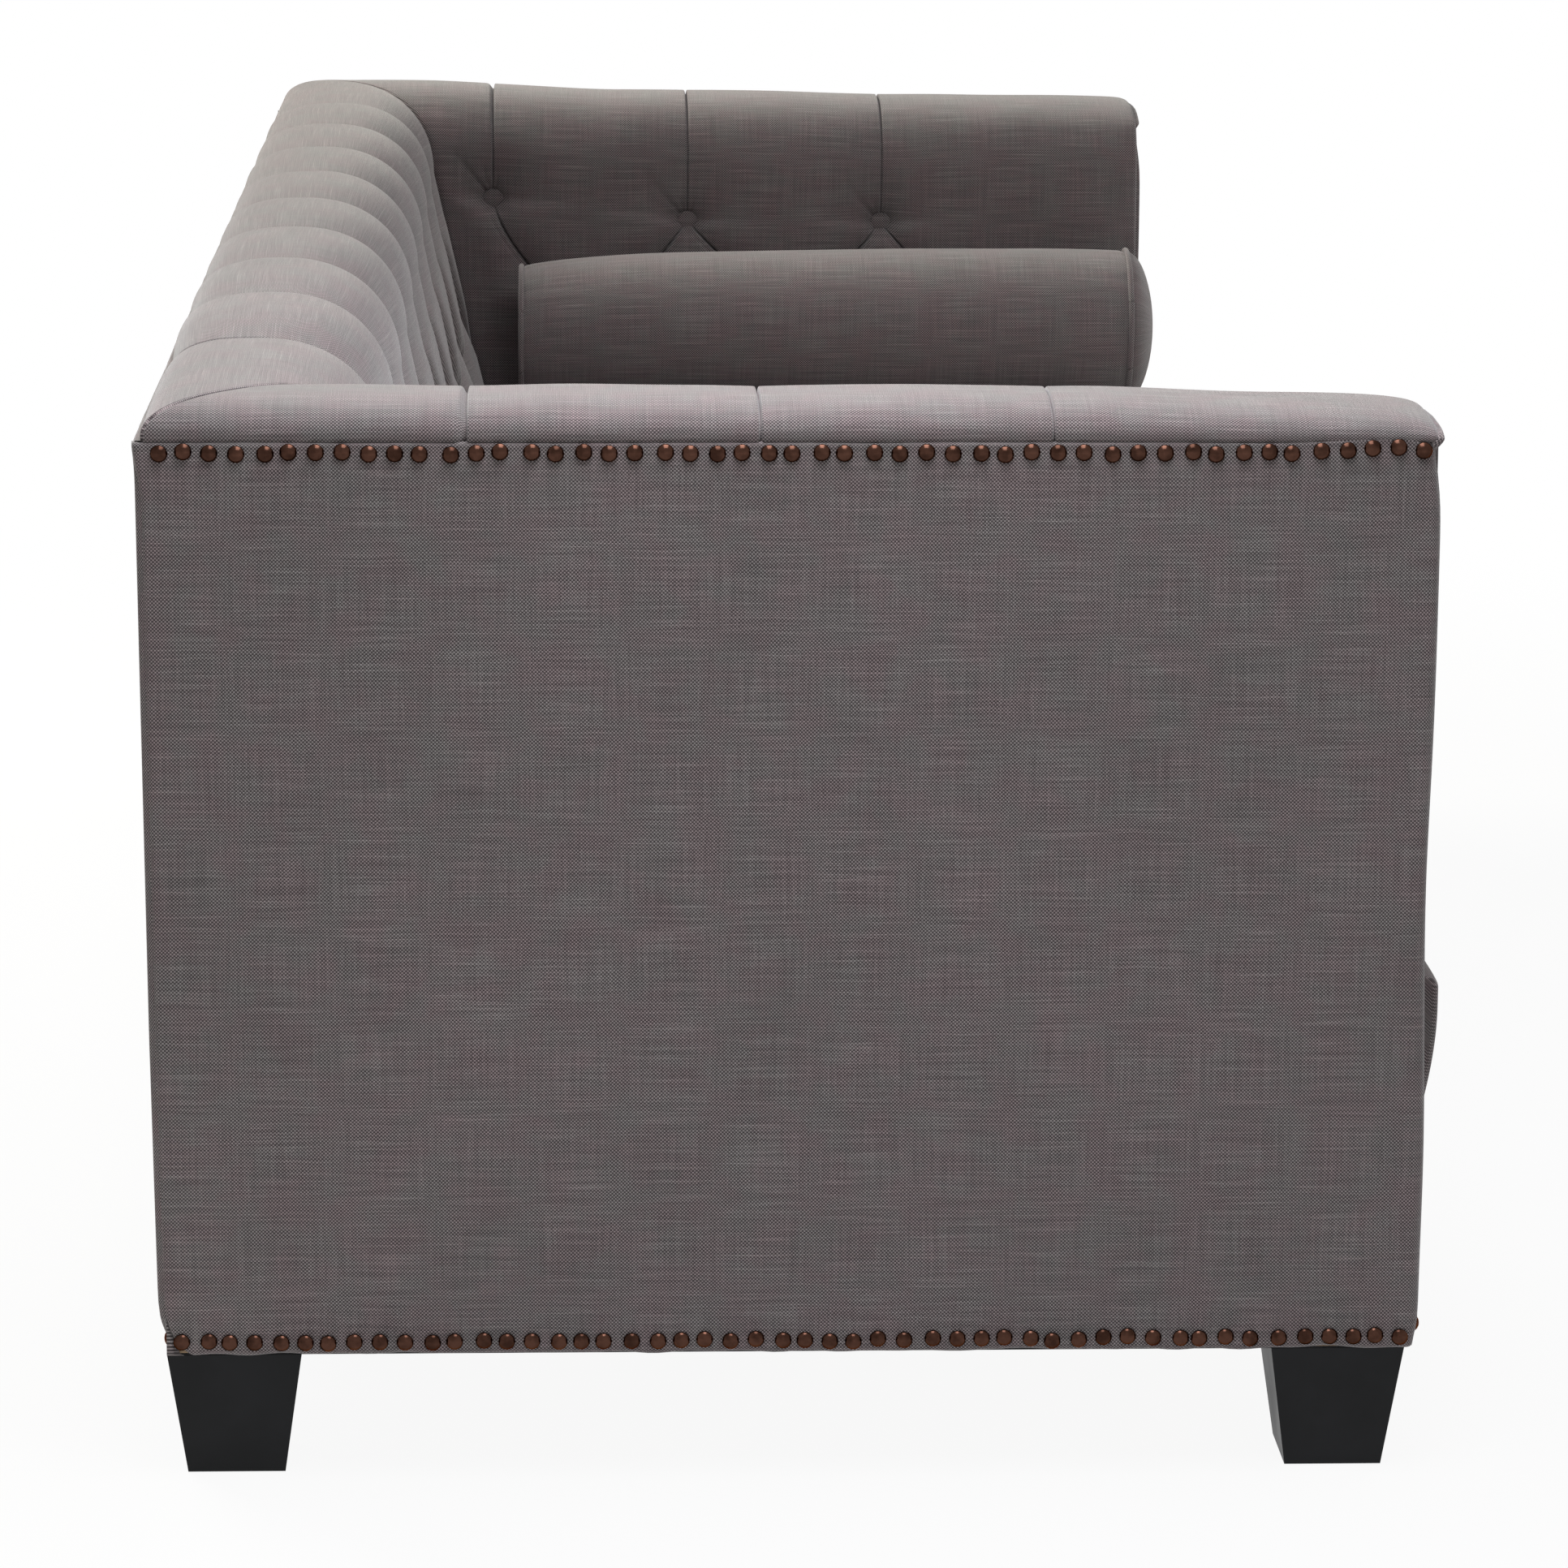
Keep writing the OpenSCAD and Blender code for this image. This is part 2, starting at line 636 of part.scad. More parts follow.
module arm_inner_board(side) {
    color("wheat")
        mirrored(side)
            board([half_len - board_in, frame_front + wood_t + fit, deck_z + fit],
                [half_len - board_in + board_t, frame_back, frame_top]);
}

// Upright of the back: notched for the bottom rail, the spring rail and the liner rail
foot_o = 100;
module back_upright(x) {
    top = frame_top - wood_t - fit;
    low = spring_z + wire_t - seat_rail_h;
    outline = [
        [panel_t + fit, top],
        [panel_t + fit, base_z + rail_h + fit],
        [panel_t + fit + wood_t + fit, base_z + rail_h + fit],
        [panel_t + fit + wood_t + fit, base_z],
        [foot_o, base_z],
        [seat_rail_o - fit, low],
        [seat_rail_o - fit, deck_z],
        [upright_o(deck_z) - wood_t - fit, deck_z],
        [upright_o(liner_z + liner_h + fit) - wood_t - fit, liner_z + liner_h + fit],
        [upright_o(liner_z + liner_h + fit), liner_z + liner_h + fit],
        [upright_o(top), top]
    ];
    color("burlywood")
        along_x(x - wood_t / 2, x + wood_t / 2, [for (p = outline) [back_y - p[0], p[1]]]);
}
module back_top_rail() {
    x = half_len - board_in - fit;
    top = frame_top;
    low = frame_top - wood_t;
    color("burlywood")
        along_x(-x, x, [
            [frame_back, low],
            [frame_back, top],
            [back_y - upright_o(top), top],
            [back_y - upright_o(low), low]
        ]);
}
module back_liner_rail() {
    x = half_len - board_in - fit;
    z1 = liner_z + liner_h;
    color("burlywood")
        along_x(-x, x, [
            [back_y - upright_o(liner_z) + wood_t, liner_z],
            [back_y - upright_o(z1) + wood_t, z1],
            [back_y - upright_o(z1), z1],
            [back_y - upright_o(liner_z), liner_z]
        ]);
}
// Straps that the back padding rests on, from the liner rail to the top rail
module back_webbing() {
    step = 2 * upright_end_x / web_count;
    z1 = frame_top;
    color("tan")
        for (i = [0:web_count - 1])
            let (x = (i - (web_count - 1) / 2) * step)
                along_x(x - web_w / 2, x + web_w / 2, [
                    [back_y - web_o(liner_z) + web_t, liner_z],
                    [back_y - web_o(z1) + web_t, z1],
                    [back_y - web_o(z1), z1],
                    [back_y - web_o(liner_z), liner_z]
                ]);
}
module seat_springs() {
    outline = concat(wire_side(wire_t / 2), reversed(wire_side(-wire_t / 2)));
    color("dimgray")
        for (i = [0:spring_count - 1])
            translate([spring_x(i), spring_front + clip_reach / 2, spring_z])
                linear_extrude(height = wire_t)
                    polygon(outline);
}
// Folded clips that hold the first and last bar of each spring
module spring_clip() {
    slot = wire_t + 2 * fit;
    deep = clip_reach - clip_t;
    rotate([90, 0, 90])
        linear_extrude(height = clip_w / 2)
            polygon([
                [0, -clip_t - fit],
                [0, slot + clip_t - fit],
                [clip_reach, slot + clip_t - fit],
                [clip_reach, slot - fit],
                [clip_reach - deep, slot - fit],
                [clip_reach - deep, -fit],
                [clip_reach, -fit],
                [clip_reach, -clip_t - fit]
            ]);
}
module spring_clips() {
    color("gray")
        for (i = [0:spring_count - 1]) {
            translate([spring_x(i) - clip_w / 2, spring_front, spring_z])
                spring_clip();
            translate([spring_x(i) + clip_w / 2, spring_back + fit, spring_z])
                rotate([0, 0, 180])
                    spring_clip();
        }
}
module seat_deck() {
    color("gray")
        board([-inner_x - pad_t + 2 * fit, spring_front, deck_under],
            [inner_x + pad_t - 2 * fit, back_y - rest_o(deck_under) - 2 * fit, deck_z]);
}
module dust_cover() {
    color("black")
        difference() {
            board([-frame_x, frame_front, leg_h + fit / 2], [frame_x, frame_back, leg_h + cover_t]);
            for (side = [-1, 1])
                for (y = leg_ys)
                    translate([side * leg_x, y, leg_h - overrun])
                        cylinder(h = cover_t + 2 * overrun, d = bolt_d + 2 * bolt_slack, $fn = 32);
        }
}

// Tapered square leg: where two tapered prisms cross, with the bolt's hole in its top
bolt_len = 84;
bolt_in = 40;
module leg(side, y) {
    taper = [
        [-leg_foot / 2, 0],
        [leg_foot / 2, 0],
        [leg_top / 2, leg_h],
        [-leg_top / 2, leg_h]
    ];
    color([0.05, 0.05, 0.05])
        mirrored(side)
            translate([leg_x, y, 0])
                difference() {
                    intersection() {
                        translate([0, leg_top, 0])
                            rotate([90, 0, 0])
                                linear_extrude(height = 2 * leg_top)
                                    polygon(taper);
                        translate([-leg_top, 0, 0])
                            rotate([90, 0, 90])
                                linear_extrude(height = 2 * leg_top)
                                    polygon(taper);
                    }
                    translate([0, 0, leg_h - bolt_in - fit])
                        cylinder(h = bolt_in + 2 * overrun, d = bolt_d + bolt_slack, $fn = 32);
                }
}
module leg_plates() {
    color("silver")
        for (side = [-1, 1])
            for (y = leg_ys)
                translate([side * leg_x, y, base_z])
                    difference() {
                        translate([-plate_w / 2, -plate_w / 2, 0])
                            cube([plate_w, plate_w, plate_t]);
                        translate([0, 0, -overrun])
                            cylinder(h = plate_t + 2 * overrun, d = bolt_d + bolt_slack, $fn = 32);
                    }
}
module leg_bolts() {
    color("silver")
        for (side = [-1, 1])
            for (y = leg_ys)
                translate([side * leg_x, y, leg_h - bolt_in])
                    cylinder(h = bolt_len, d = bolt_d, $fn = 32);
}

fabric_colour = [0.40, 0.36, 0.36];
module inside_back() {
    color(fabric_colour)
        padding(back_places, [for (c = back_places) back_ring(c)]);
}
module inside_arm(side) {
    color(fabric_colour)
        mirrored(side)
            padding(arm_places, [for (c = arm_places) arm_ring(c)]);
}
module back_buttons() {
    color(fabric_colour) {
        for (j = [row_a, row_b])
            for (c = back_places)
                if (on_button(c, j, back_ups, [0.5 - last_col, last_col - 0.5]))
                    translate(back_point(c, j))
                        rotate([lean(back_normal(j)), 0, 0])
                            translate([0, 0, fit])
                                button();
    }
}
module arm_buttons(side) {
    color(fabric_colour)
        mirrored(side) {
            for (j = [row_a, row_b])
                for (c = arm_places)
                    if (on_button(c, j, arm_ups, arm_lows))
                        translate(arm_point(c, j))
                            rotate([0, -lean(arm_normal(j)), 0])
                                translate([0, 0, fit])
                                    button();
        }
}
module outside_arm(side) {
    color(fabric_colour)
        mirrored(side)
            translate([half_len, front_y, leg_h])
                rotate([0, 0, 90])
                    crowned_panel(body_dep, seam_z - leg_h, panel_t, arm_panel_crown);
}
module outside_back() {
    color(fabric_colour)
        translate([frame_x, back_y + back_swell, leg_h])
            rotate([0, 0, 180])
                crowned_panel(2 * frame_x, seam_z - leg_h, panel_t + back_swell, back_panel_crown);
}
// Facing over the front of an arm, cut to the end of the padding
facing_steps = 12;
module arm_facing(side) {
    color(fabric_colour)
        mirrored(side)
            translate([half_len, front_y + panel_t, 0])
                rotate([90, 0, 0])
                    linear_extrude(height = panel_t)
                        polygon([
                            [-panel_t - fit, leg_h],
                            for (k = [0:facing_steps])
                                let (p = roll(180 * k / facing_steps))
                                [min(-p[0], -panel_t - fit), p[1] - front_drop(p[1], pad_front_y)],
                            [-arm_t, leg_h]
                        ]);
}
// Padded border over the front rail, swelling to its top and rolled back over the rail
border_steps = 10;
border_full_share = 0.9;
border_top_in = 6;
module front_border() {
    top = deck_z;
    full_z = leg_h + (top - leg_h) * border_full_share;
    x = inner_x - fit;
    outline = [
        [frame_front - fit, leg_h],
        for (k = [0:border_steps])
            let (u = k / border_steps)
            [front_y - front_reach * pow(sin(90 * u), 2), leg_h + (full_z - leg_h) * u],
        [front_y - front_reach + border_top_in / 3, (full_z + top) / 2],
        [front_y - front_reach + border_top_in, top],
        [frame_front + wood_t, top],
        [frame_front + wood_t, front_rail_top + fit],
        [frame_front - fit, front_rail_top + fit]
    ];
    color(fabric_colour)
        along_x(-x, x, outline);
}
module seat_cushion(i) {
    color(fabric_colour)
        translate([i * cushion_x, 0, 0])
            cushion();
}

front_rail();
back_rail();
side_rail(-1);  // side_rail_left
side_rail(1);  // side_rail_right
seat_stretcher(-1);  // seat_stretcher_left
seat_stretcher(1);  // seat_stretcher_right
seat_back_rail();
corner_blocks();
arm_front_board(-1);  // arm_front_board_left
arm_front_board(1);  // arm_front_board_right
rear_post(-1);  // rear_post_left
rear_post(1);  // rear_post_right
arm_top_rail(-1);  // arm_top_rail_left
arm_top_rail(1);  // arm_top_rail_right
arm_tack_rail(-1);  // arm_tack_rail_left
arm_tack_rail(1);  // arm_tack_rail_right
arm_inner_board(-1);  // arm_inner_board_left
arm_inner_board(1);  // arm_inner_board_right
back_upright(-upright_end_x);  // back_upright_left
back_upright(-upright_mid_x);  // back_upright_mid_left
back_upright(upright_mid_x);  // back_upright_mid_right
back_upright(upright_end_x);  // back_upright_right
back_top_rail();
back_liner_rail();
back_webbing();
seat_springs();
spring_clips();
seat_deck();
dust_cover();
leg(-1, leg_ys[0]);  // leg_front_left
leg(1, leg_ys[0]);  // leg_front_right
leg(-1, leg_ys[1]);  // leg_rear_left
leg(1, leg_ys[1]);  // leg_rear_right
leg_plates();
leg_bolts();
inside_back();
inside_arm(-1);  // inside_arm_left
inside_arm(1);  // inside_arm_right
back_buttons();
arm_buttons(-1);  // arm_buttons_left
arm_buttons(1);  // arm_buttons_right
outside_arm(-1);  // outside_arm_left
outside_arm(1);  // outside_arm_right
outside_back();
arm_facing(-1);  // arm_facing_left
arm_facing(1);  // arm_facing_right
front_border();
seat_cushion(-1);  // seat_cushion_left
seat_cushion(0);  // seat_cushion_centre
seat_cushion(1);  // seat_cushion_right
mirrored(-1) bolster();  // bolster_left
mirrored(1) bolster();  // bolster_right
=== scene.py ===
"""Buttoned sofa with square arms: covers, padding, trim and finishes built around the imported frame."""

import json
import math

import bmesh
import bpy
import numpy as np
from mathutils import Matrix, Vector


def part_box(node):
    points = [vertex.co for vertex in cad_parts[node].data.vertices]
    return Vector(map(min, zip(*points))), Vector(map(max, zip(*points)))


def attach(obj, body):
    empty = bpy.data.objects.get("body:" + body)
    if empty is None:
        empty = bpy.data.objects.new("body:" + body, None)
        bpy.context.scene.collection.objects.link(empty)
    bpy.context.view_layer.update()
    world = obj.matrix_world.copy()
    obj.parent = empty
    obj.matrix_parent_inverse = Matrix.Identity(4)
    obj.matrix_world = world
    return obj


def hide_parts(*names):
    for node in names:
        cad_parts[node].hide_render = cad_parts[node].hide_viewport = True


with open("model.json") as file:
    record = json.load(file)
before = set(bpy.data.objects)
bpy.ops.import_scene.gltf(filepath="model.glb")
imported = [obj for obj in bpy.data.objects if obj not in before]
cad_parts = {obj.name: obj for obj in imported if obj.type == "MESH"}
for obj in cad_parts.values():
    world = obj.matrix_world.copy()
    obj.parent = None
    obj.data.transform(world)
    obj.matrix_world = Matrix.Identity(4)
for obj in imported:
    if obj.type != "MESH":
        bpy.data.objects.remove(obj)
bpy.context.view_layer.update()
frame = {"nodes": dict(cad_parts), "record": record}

bl_info = {
    "name": "Buttoned Sofa Covers",
    "version": (1, 0, 0),
    "blender": (4, 5, 0),
    "location": "View3D > Sidebar > Sofa",
    "description": "Builds the buttoned covers, cushions, nail trim and finishes of a square-armed sofa",
    "category": "Object",
}

MM = 0.001
FULL_TURN = 2 * math.pi


def corners(node):
    """Lowest and highest corner of a frame node, as arrays."""
    low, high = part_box(node)
    return np.array(low), np.array(high)


PANEL_LOW, PANEL_HIGH = corners("outside_arm_right")
PAD_LOW, PAD_HIGH = corners("inside_arm_right")
DECK_LOW, DECK_HIGH = corners("seat_deck")
BORDER_LOW, BORDER_HIGH = corners("front_border")
CUSHION_LOW, CUSHION_HIGH = corners("seat_cushion_centre")
BOLSTER_LOW, BOLSTER_HIGH = corners("bolster_right")
SIDES = {"left": -1, "right": 1}


def length(name, description, default):
    """Property that holds a length in metres."""
    return bpy.props.FloatProperty(
        name=name, description=description, default=float(default), unit="LENGTH", precision=4
    )


def colour(name, description, default):
    """Property that holds a linear colour."""
    return bpy.props.FloatVectorProperty(
        name=name, description=description, default=default, size=3, subtype="COLOR", min=0, max=1
    )


class SofaSizes(bpy.types.PropertyGroup):
    """Sizes of the covers; what the frame holds is read from the frame."""

    half_len: length("Half length", "From the middle to the outside of an arm", PANEL_HIGH[0])
    front_y: length("Front", "Plane of the arm fronts", PANEL_LOW[1])
    back_y: length("Back", "Plane of the arms' rear edges", PANEL_HIGH[1])
    base_z: length("Base", "Lower edge of the covers", PANEL_LOW[2])
    seam_z: length("Top seam", "Height of the seam under the rolled edge", PANEL_HIGH[2])
    arm_h: length("Arm height", "Height of the arm crown", PAD_HIGH[2])
    arm_t: length("Arm thickness", "Outside to inside of an arm", PANEL_HIGH[0] - PAD_LOW[0])
    foot_z: length("Padding foot", "Height of the padding's lower edge", PAD_LOW[2])
    pad_t: length("Padding", "Thickness of the buttoned padding", 32 * MM)
    panel_t: length("Panel", "Thickness of an outside panel", 8.3 * MM)
    shoulder_drop: length("Shoulder drop", "From the crown down to the inside shoulder", 70 * MM)
    back_rise: length("Back rise", "Rise of the back crown over the arms", 15 * MM)
    recline: bpy.props.FloatProperty(
        name="Recline", description="Lean of the inside back", default=math.radians(13.9), subtype="ANGLE"
    )
    back_pitch: length("Back pitch", "Between button columns on the back", 195 * MM)
    arm_pitch: length("Arm pitch", "Between button columns on an arm", 187 * MM)
    arm_first: length("First arm column", "From the outside back to the first column", 207 * MM)
    row_one: length("Upper row", "Height of the upper buttons", 609 * MM)
    row_two: length("Lower row", "Height of the lower buttons", 483 * MM)
    pleat_depth: length("Pleat depth", "Depth of the padding in a pleat", 17 * MM)
    dimple_depth: length("Dimple depth", "Extra depth under a button", 6 * MM)
    button_d: length("Button", "Diameter of a covered button", 20.4 * MM)
    nail_d: length("Nail", "Diameter of a nail head", 11.2 * MM)
    nail_gap: length("Nail spacing", "Between nail centres", 16.8 * MM)
    welt_d: length("Welt", "Diameter of the piping", 6 * MM)


class SofaColours(bpy.types.PropertyGroup):
    """Linear colours of the finishes."""

    # The dark thread is painted shade for the sunken threads of the weave, and the light thread is painted
    # light for the lifted ones
    thread_dark: colour("Dark thread", "Linen thread in the shade", (0.058, 0.0487, 0.0505))
    thread_light: colour("Light thread", "Linen thread that stands up", (0.475, 0.434, 0.426))
    lacquer: colour("Leg lacquer", "Black lacquer of the legs", (0.0098, 0.0102, 0.0112))
    bronze: colour("Nail bronze", "Antique bronze of the nail heads", (0.076, 0.036, 0.025))
    hardwood: colour("Hardwood", "Pale frame timber", (0.52, 0.36, 0.21))
    plywood: colour("Plywood", "Inner boards", (0.58, 0.43, 0.27))
    jute: colour("Jute", "Back webbing", (0.42, 0.30, 0.16))
    steel: colour("Steel", "Springs, clips and leg fittings", (0.46, 0.47, 0.48))
    lining: colour("Lining", "Platform cloth under the cushions", (0.11, 0.095, 0.095))
    cambric: colour("Bottom cloth", "Black cloth under the seat", (0.018, 0.018, 0.019))


# Rolled edge: where its crown lies across the arm, and the powers of its outer and inner quarter
CROWN_SHARE = 0.45
OUTER_POWER = 0.77
INNER_POWER = 0.91

# Shares of the pleat's depth: at angles round the roll in degrees, at the lower buttons, and down to the foot
ROLL_ANGLES = (0, 24, 52, 90, 122, 150, 180)
BACK_ROLL_SHARES = (0.14, 0.30, 0.48, 0.66, 0.88, 1.08, 1.2)
ARM_ROLL_SHARES = (0.0, 0.0, 0.02, 0.05, 0.14, 0.3, 0.46)
BACK_DIAMOND_SHARE = 1.3
ARM_DIAMOND_SHARE = 0.75
SKIRT_PLEAT_SHARES = (1, 0.6, 0.3)

# Pleats: depth before it levels off, columns past the middle one, and where an arm's columns start
SINK_FREE = 25 * MM
SINK_SPARE = 1 * MM
BACK_COLUMNS = 4
ARM_COLUMNS = 2
ARM_START = -0.25
ARM_BENDS = (1.9, 0.93, 0.93)
CORNER_MARGIN = 46 * MM
BACK_CORNER_REACH = 70 * MM
ARM_CORNER_REACH = 46 * MM
CORNER_TURN = 12 * MM
CORNER_FADE = 30 * MM
LEAN_ROOM = 100 * MM
BACK_SEED = 11
ARM_SEED = 51
CORNER_STITCH = 3.4 * MM
STITCH_WIDTH = 1.5 * MM

# Crown: how far its rise over the back takes to build up, in pitches, and its slope and nose along an arm
LIFT_REACH = 1.2
SLOPE_FROM = 250 * MM
SLOPE_TO = 100 * MM
SLOPE_SHARE = 0.2
ARM_SAG = 4.2 * MM
NOSE_LENS = (28 * MM, 5 * MM)
NOSE_SHARES = {-1: (0.30, 0.17), 1: (0.10, 0.23)}
FRONT_FADE = 50 * MM
SOFT_FADE = 25 * MM
NOSE_ROUND = 3 * MM
NOSE_TUCK = 4 * MM
TUCK_WIDTH = 1.3 * MM
PAD_FRONT = 2.5 * MM

# Cover over an arm's front
FACING_TOP_SHARES = {-1: 0.33, 1: 0.47}
FACING_STAND = 0.5 * MM
FACING_ROUND = 1.5 * MM
FACING_LIP = 3.2 * MM
FACING_TUCK = 3 * MM

# Clearance from the frame, and how far the padding draws in at the top seam, and over what run
FIT = 0.3 * MM
SEAT_TUCK = 1.2 * MM
TUCK_RUN = 5 * MM


# Numeric helpers


def smooth(a, b, v):
    """Rises from 0 at a to 1 at b as 3t^2 - 2t^3."""
    t = np.clip((v - a) / (b - a), 0, 1)
    return t * t * (3 - 2 * t)


def ease_in(d):
    """1 - (1 - d)^2, held at 1 past d = 1."""
    return 1 - (1 - np.minimum(1, d)) ** 2


def drawn(n, pull=0.9):
    """n + 1 places from 0 to 1, closer at both ends: t - pull sin(2 pi t) / (2 pi)."""
    t = np.linspace(0, 1, n + 1)
    return t - pull * np.sin(FULL_TURN * t) / FULL_TURN


def waves(u, v, seed, size, count=7):
    """Soft cloth waves: a sum of count sine waves of random heading, about size long, within -1 to 1."""
    rng = np.random.default_rng(seed)
    total = np.zeros(np.broadcast(u, v).shape)
    for _ in range(count):
        heading, phase = rng.uniform(0, FULL_TURN, 2)
        number = FULL_TURN / (size * rng.uniform(0.6, 1.6))
        total += np.sin(number * (u * math.cos(heading) + v * math.sin(heading)) + phase)
    return total / count


def edge_round(d, r):
    """How far a rounded edge of radius r has fallen at distance d from it: r - sqrt(r^2 - (r - d)^2)."""
    inner = np.clip(r - d, 0, r)
    return r - np.sqrt(np.maximum(r * r - inner * inner, 0))


def spaced(start, end, fine, coarse, reach):
    """Places from start to end, fine apart within reach of either end and coarse apart between."""
    a = np.arange(start, start + reach, fine)
    b = np.linspace(start + reach, end - reach, max(2, int((end - start - 2 * reach) / coarse)))
    c = np.arange(end, end - reach, -fine)[::-1]
    return np.unique(np.round(np.concatenate([a, b, c]), 6))


# Mesh helpers

MERGE = 2e-6


def link(name, mesh, body, material, replaces=()):
    """Puts a mesh in the scene as a piece of the sofa."""
    piece = bpy.data.objects.new(name, mesh)
    bpy.context.scene.collection.objects.link(piece)
    mesh.materials.append(material)
    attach(piece, body)
    if replaces:
        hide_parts(*replaces)
    return piece


def quads_of(rows, cols, wrap_rows=False, wrap_cols=False):
    """Corner numbers of the quads of a rows x cols grid, joined round where wrapped."""
    r = np.arange(rows if wrap_rows else rows - 1)
    c = np.arange(cols if wrap_cols else cols - 1)
    r, c = np.meshgrid(r, c, indexing="ij")
    r1, c1 = (r + 1) % rows, (c + 1) % cols
    return np.stack([r * cols + c, r1 * cols + c, r1 * cols + c1, r * cols + c1], -1).reshape(-1, 4)


def mesh_of(name, points, quads, uv=None):
    """Mesh from points (n x 3), quads (m x 4) and weave places uv (n x 2) in metres."""
    mesh = bpy.data.meshes.new(name)
    mesh.vertices.add(len(points))
    mesh.vertices.foreach_set("co", np.ascontiguousarray(points, np.float32).ravel())
    mesh.loops.add(quads.size)
    mesh.loops.foreach_set("vertex_index", quads.ravel().astype(np.int32))
    mesh.polygons.add(len(quads))
    mesh.polygons.foreach_set("loop_start", np.arange(0, quads.size, 4, dtype=np.int32))
    mesh.polygons.foreach_set("use_smooth", np.ones(len(quads), bool))
    if uv is not None:
        layer = mesh.uv_layers.new(name="Weave")
        layer.data.foreach_set("uv", np.ascontiguousarray(uv[quads.ravel()], np.float32).ravel())
    mesh.update(calc_edges=True)
    return mesh


def close_up(mesh):
    """Merges doubled points, fills open ends and turns the faces outwards."""
    bm = bmesh.new()
    bm.from_mesh(mesh)
    bmesh.ops.remove_doubles(bm, verts=bm.verts, dist=MERGE)
    bmesh.ops.dissolve_degenerate(bm, edges=bm.edges, dist=MERGE)
    rims = [e for e in bm.edges if e.is_boundary]
    caps = bmesh.ops.holes_fill(bm, edges=rims, sides=0)["faces"] if rims else []
    bmesh.ops.triangulate(bm, faces=caps)
    bmesh.ops.recalc_face_normals(bm, faces=bm.faces)
    bm.to_mesh(mesh)
    bm.free()
    mesh.update()
    return mesh


def grid(name, points, uv=None, wrap_rows=False, wrap_cols=False):
    """Closed mesh over a rows x cols x 3 array of points, with weave places where given."""
    rows, cols = points.shape[:2]
    quads = quads_of(rows, cols, wrap_rows, wrap_cols)
    places = None if uv is None else uv.reshape(-1, 2)
    return close_up(mesh_of(name, points.reshape(-1, 3), quads, places))


def joined(name, parts):
    """One mesh from several (points, quads, uv)."""
    starts = np.cumsum([0] + [len(p) for p, _, _ in parts[:-1]])
    points = np.concatenate([p for p, _, _ in parts])
    quads = np.concatenate([q + s for (_, q, _), s in zip(parts, starts)])
    return mesh_of(name, points, quads, np.concatenate([t for _, _, t in parts]))


def tube(path, radius, sides=10):
    """Points, quads and weave places of a round tube along a closed path (n x 3).

    Each ring lies square to the path: the path's direction crossed with straight up, or with +Y where
    the path stands upright, gives the ring's first axis.
    """
    along = np.roll(path, -1, 0) - np.roll(path, 1, 0)
    along /= np.linalg.norm(along, axis=1, keepdims=True)
    upright = 0.9
    up = np.where(np.abs(along[:, 2:3]) > upright, [[0.0, 1.0, 0.0]], [[0.0, 0.0, 1.0]])
    a = np.cross(along, up)
    a /= np.linalg.norm(a, axis=1, keepdims=True)
    b = np.cross(a, along)
    turn = np.linspace(0, FULL_TURN, sides, endpoint=False)
    ring = np.cos(turn)[None, :, None] * a[:, None] + np.sin(turn)[None, :, None] * b[:, None]
    points = path[:, None] + radius * ring
    run = np.concatenate([[0], np.cumsum(np.linalg.norm(np.diff(path, axis=0), axis=1))])
    uv = np.stack(np.broadcast_arrays(run[:, None], turn[None] * radius), -1)
    quads = quads_of(len(path), sides, wrap_rows=True, wrap_cols=True)
    return points.reshape(-1, 3), quads, uv.reshape(-1, 2)


# Materials: each is a short node tree


class Tree:
    """Small helper that adds and joins shader nodes."""

    def __init__(self, name):
        self.material = bpy.data.materials.new(name)
        self.material.use_nodes = True
        self.tree = self.material.node_tree
        self.bsdf = self.tree.nodes["Principled BSDF"]

    def add(self, kind, **values):
        """Node of a kind; values name its settings, or its inputs where they start with in_."""
        node = self.tree.nodes.new(kind)
        for key, value in values.items():
            if key.startswith("in_"):
                self.put(node, key[3:].replace("_", " "), value)
            else:
                setattr(node, key, value)
        return node

    def put(self, node, socket, value):
        """Sets an input, or joins an output to it."""
        target = node.inputs[int(socket) if socket.isdigit() else socket]
        if isinstance(value, bpy.types.NodeSocket):
            self.tree.links.new(value, target)
        else:
            target.default_value = value

    def math(self, operation, a, b=0.0, c=0.0):
        """Output of a Math node."""
        return self.add("ShaderNodeMath", operation=operation, in_0=a, in_1=b, in_2=c).outputs[0]

    def noise(self, vector, scale, detail=2.0, rough=0.5):
        """Factor of a Noise texture."""
        return self.add(
            "ShaderNodeTexNoise", in_Vector=vector, in_Scale=scale, in_Detail=detail, in_Roughness=rough
        ).outputs["Fac"]

    def stretch(self, vector, scale):
        """Vector scaled by three numbers."""
        return self.add("ShaderNodeMapping", in_Vector=vector, in_Scale=scale).outputs[0]

    def ramp(self, value, low, high, out_low=0.0, out_high=1.0):
        """Value mapped from low-high to out_low-out_high, smoothly."""
        return self.add(
            "ShaderNodeMapRange", interpolation_type="SMOOTHSTEP", in_0=value, in_1=low, in_2=high,
            in_3=out_low, in_4=out_high,
        ).outputs[0]

    def mix(self, factor, a, b, blend="MIX"):
        """Colour mixed from a to b."""
        node = self.add("ShaderNodeMix", data_type="RGBA", blend_type=blend)
        self.put(node, "0", factor)
        self.put(node, "6", a)
        self.put(node, "7", b)
        return node.outputs[2]

    def bump(self, height, strength, distance):
        """Bumped normal, joined to the shader."""
        node = self.add("ShaderNodeBump", in_Height=height, in_Strength=strength, in_Distance=distance)
        self.put(self.bsdf, "Normal", node.outputs[0])

    def shader(self, **values):
        """Sets or joins the shader's own inputs."""
        for key, value in values.items():
            self.put(self.bsdf, key.replace("_", " "), value)


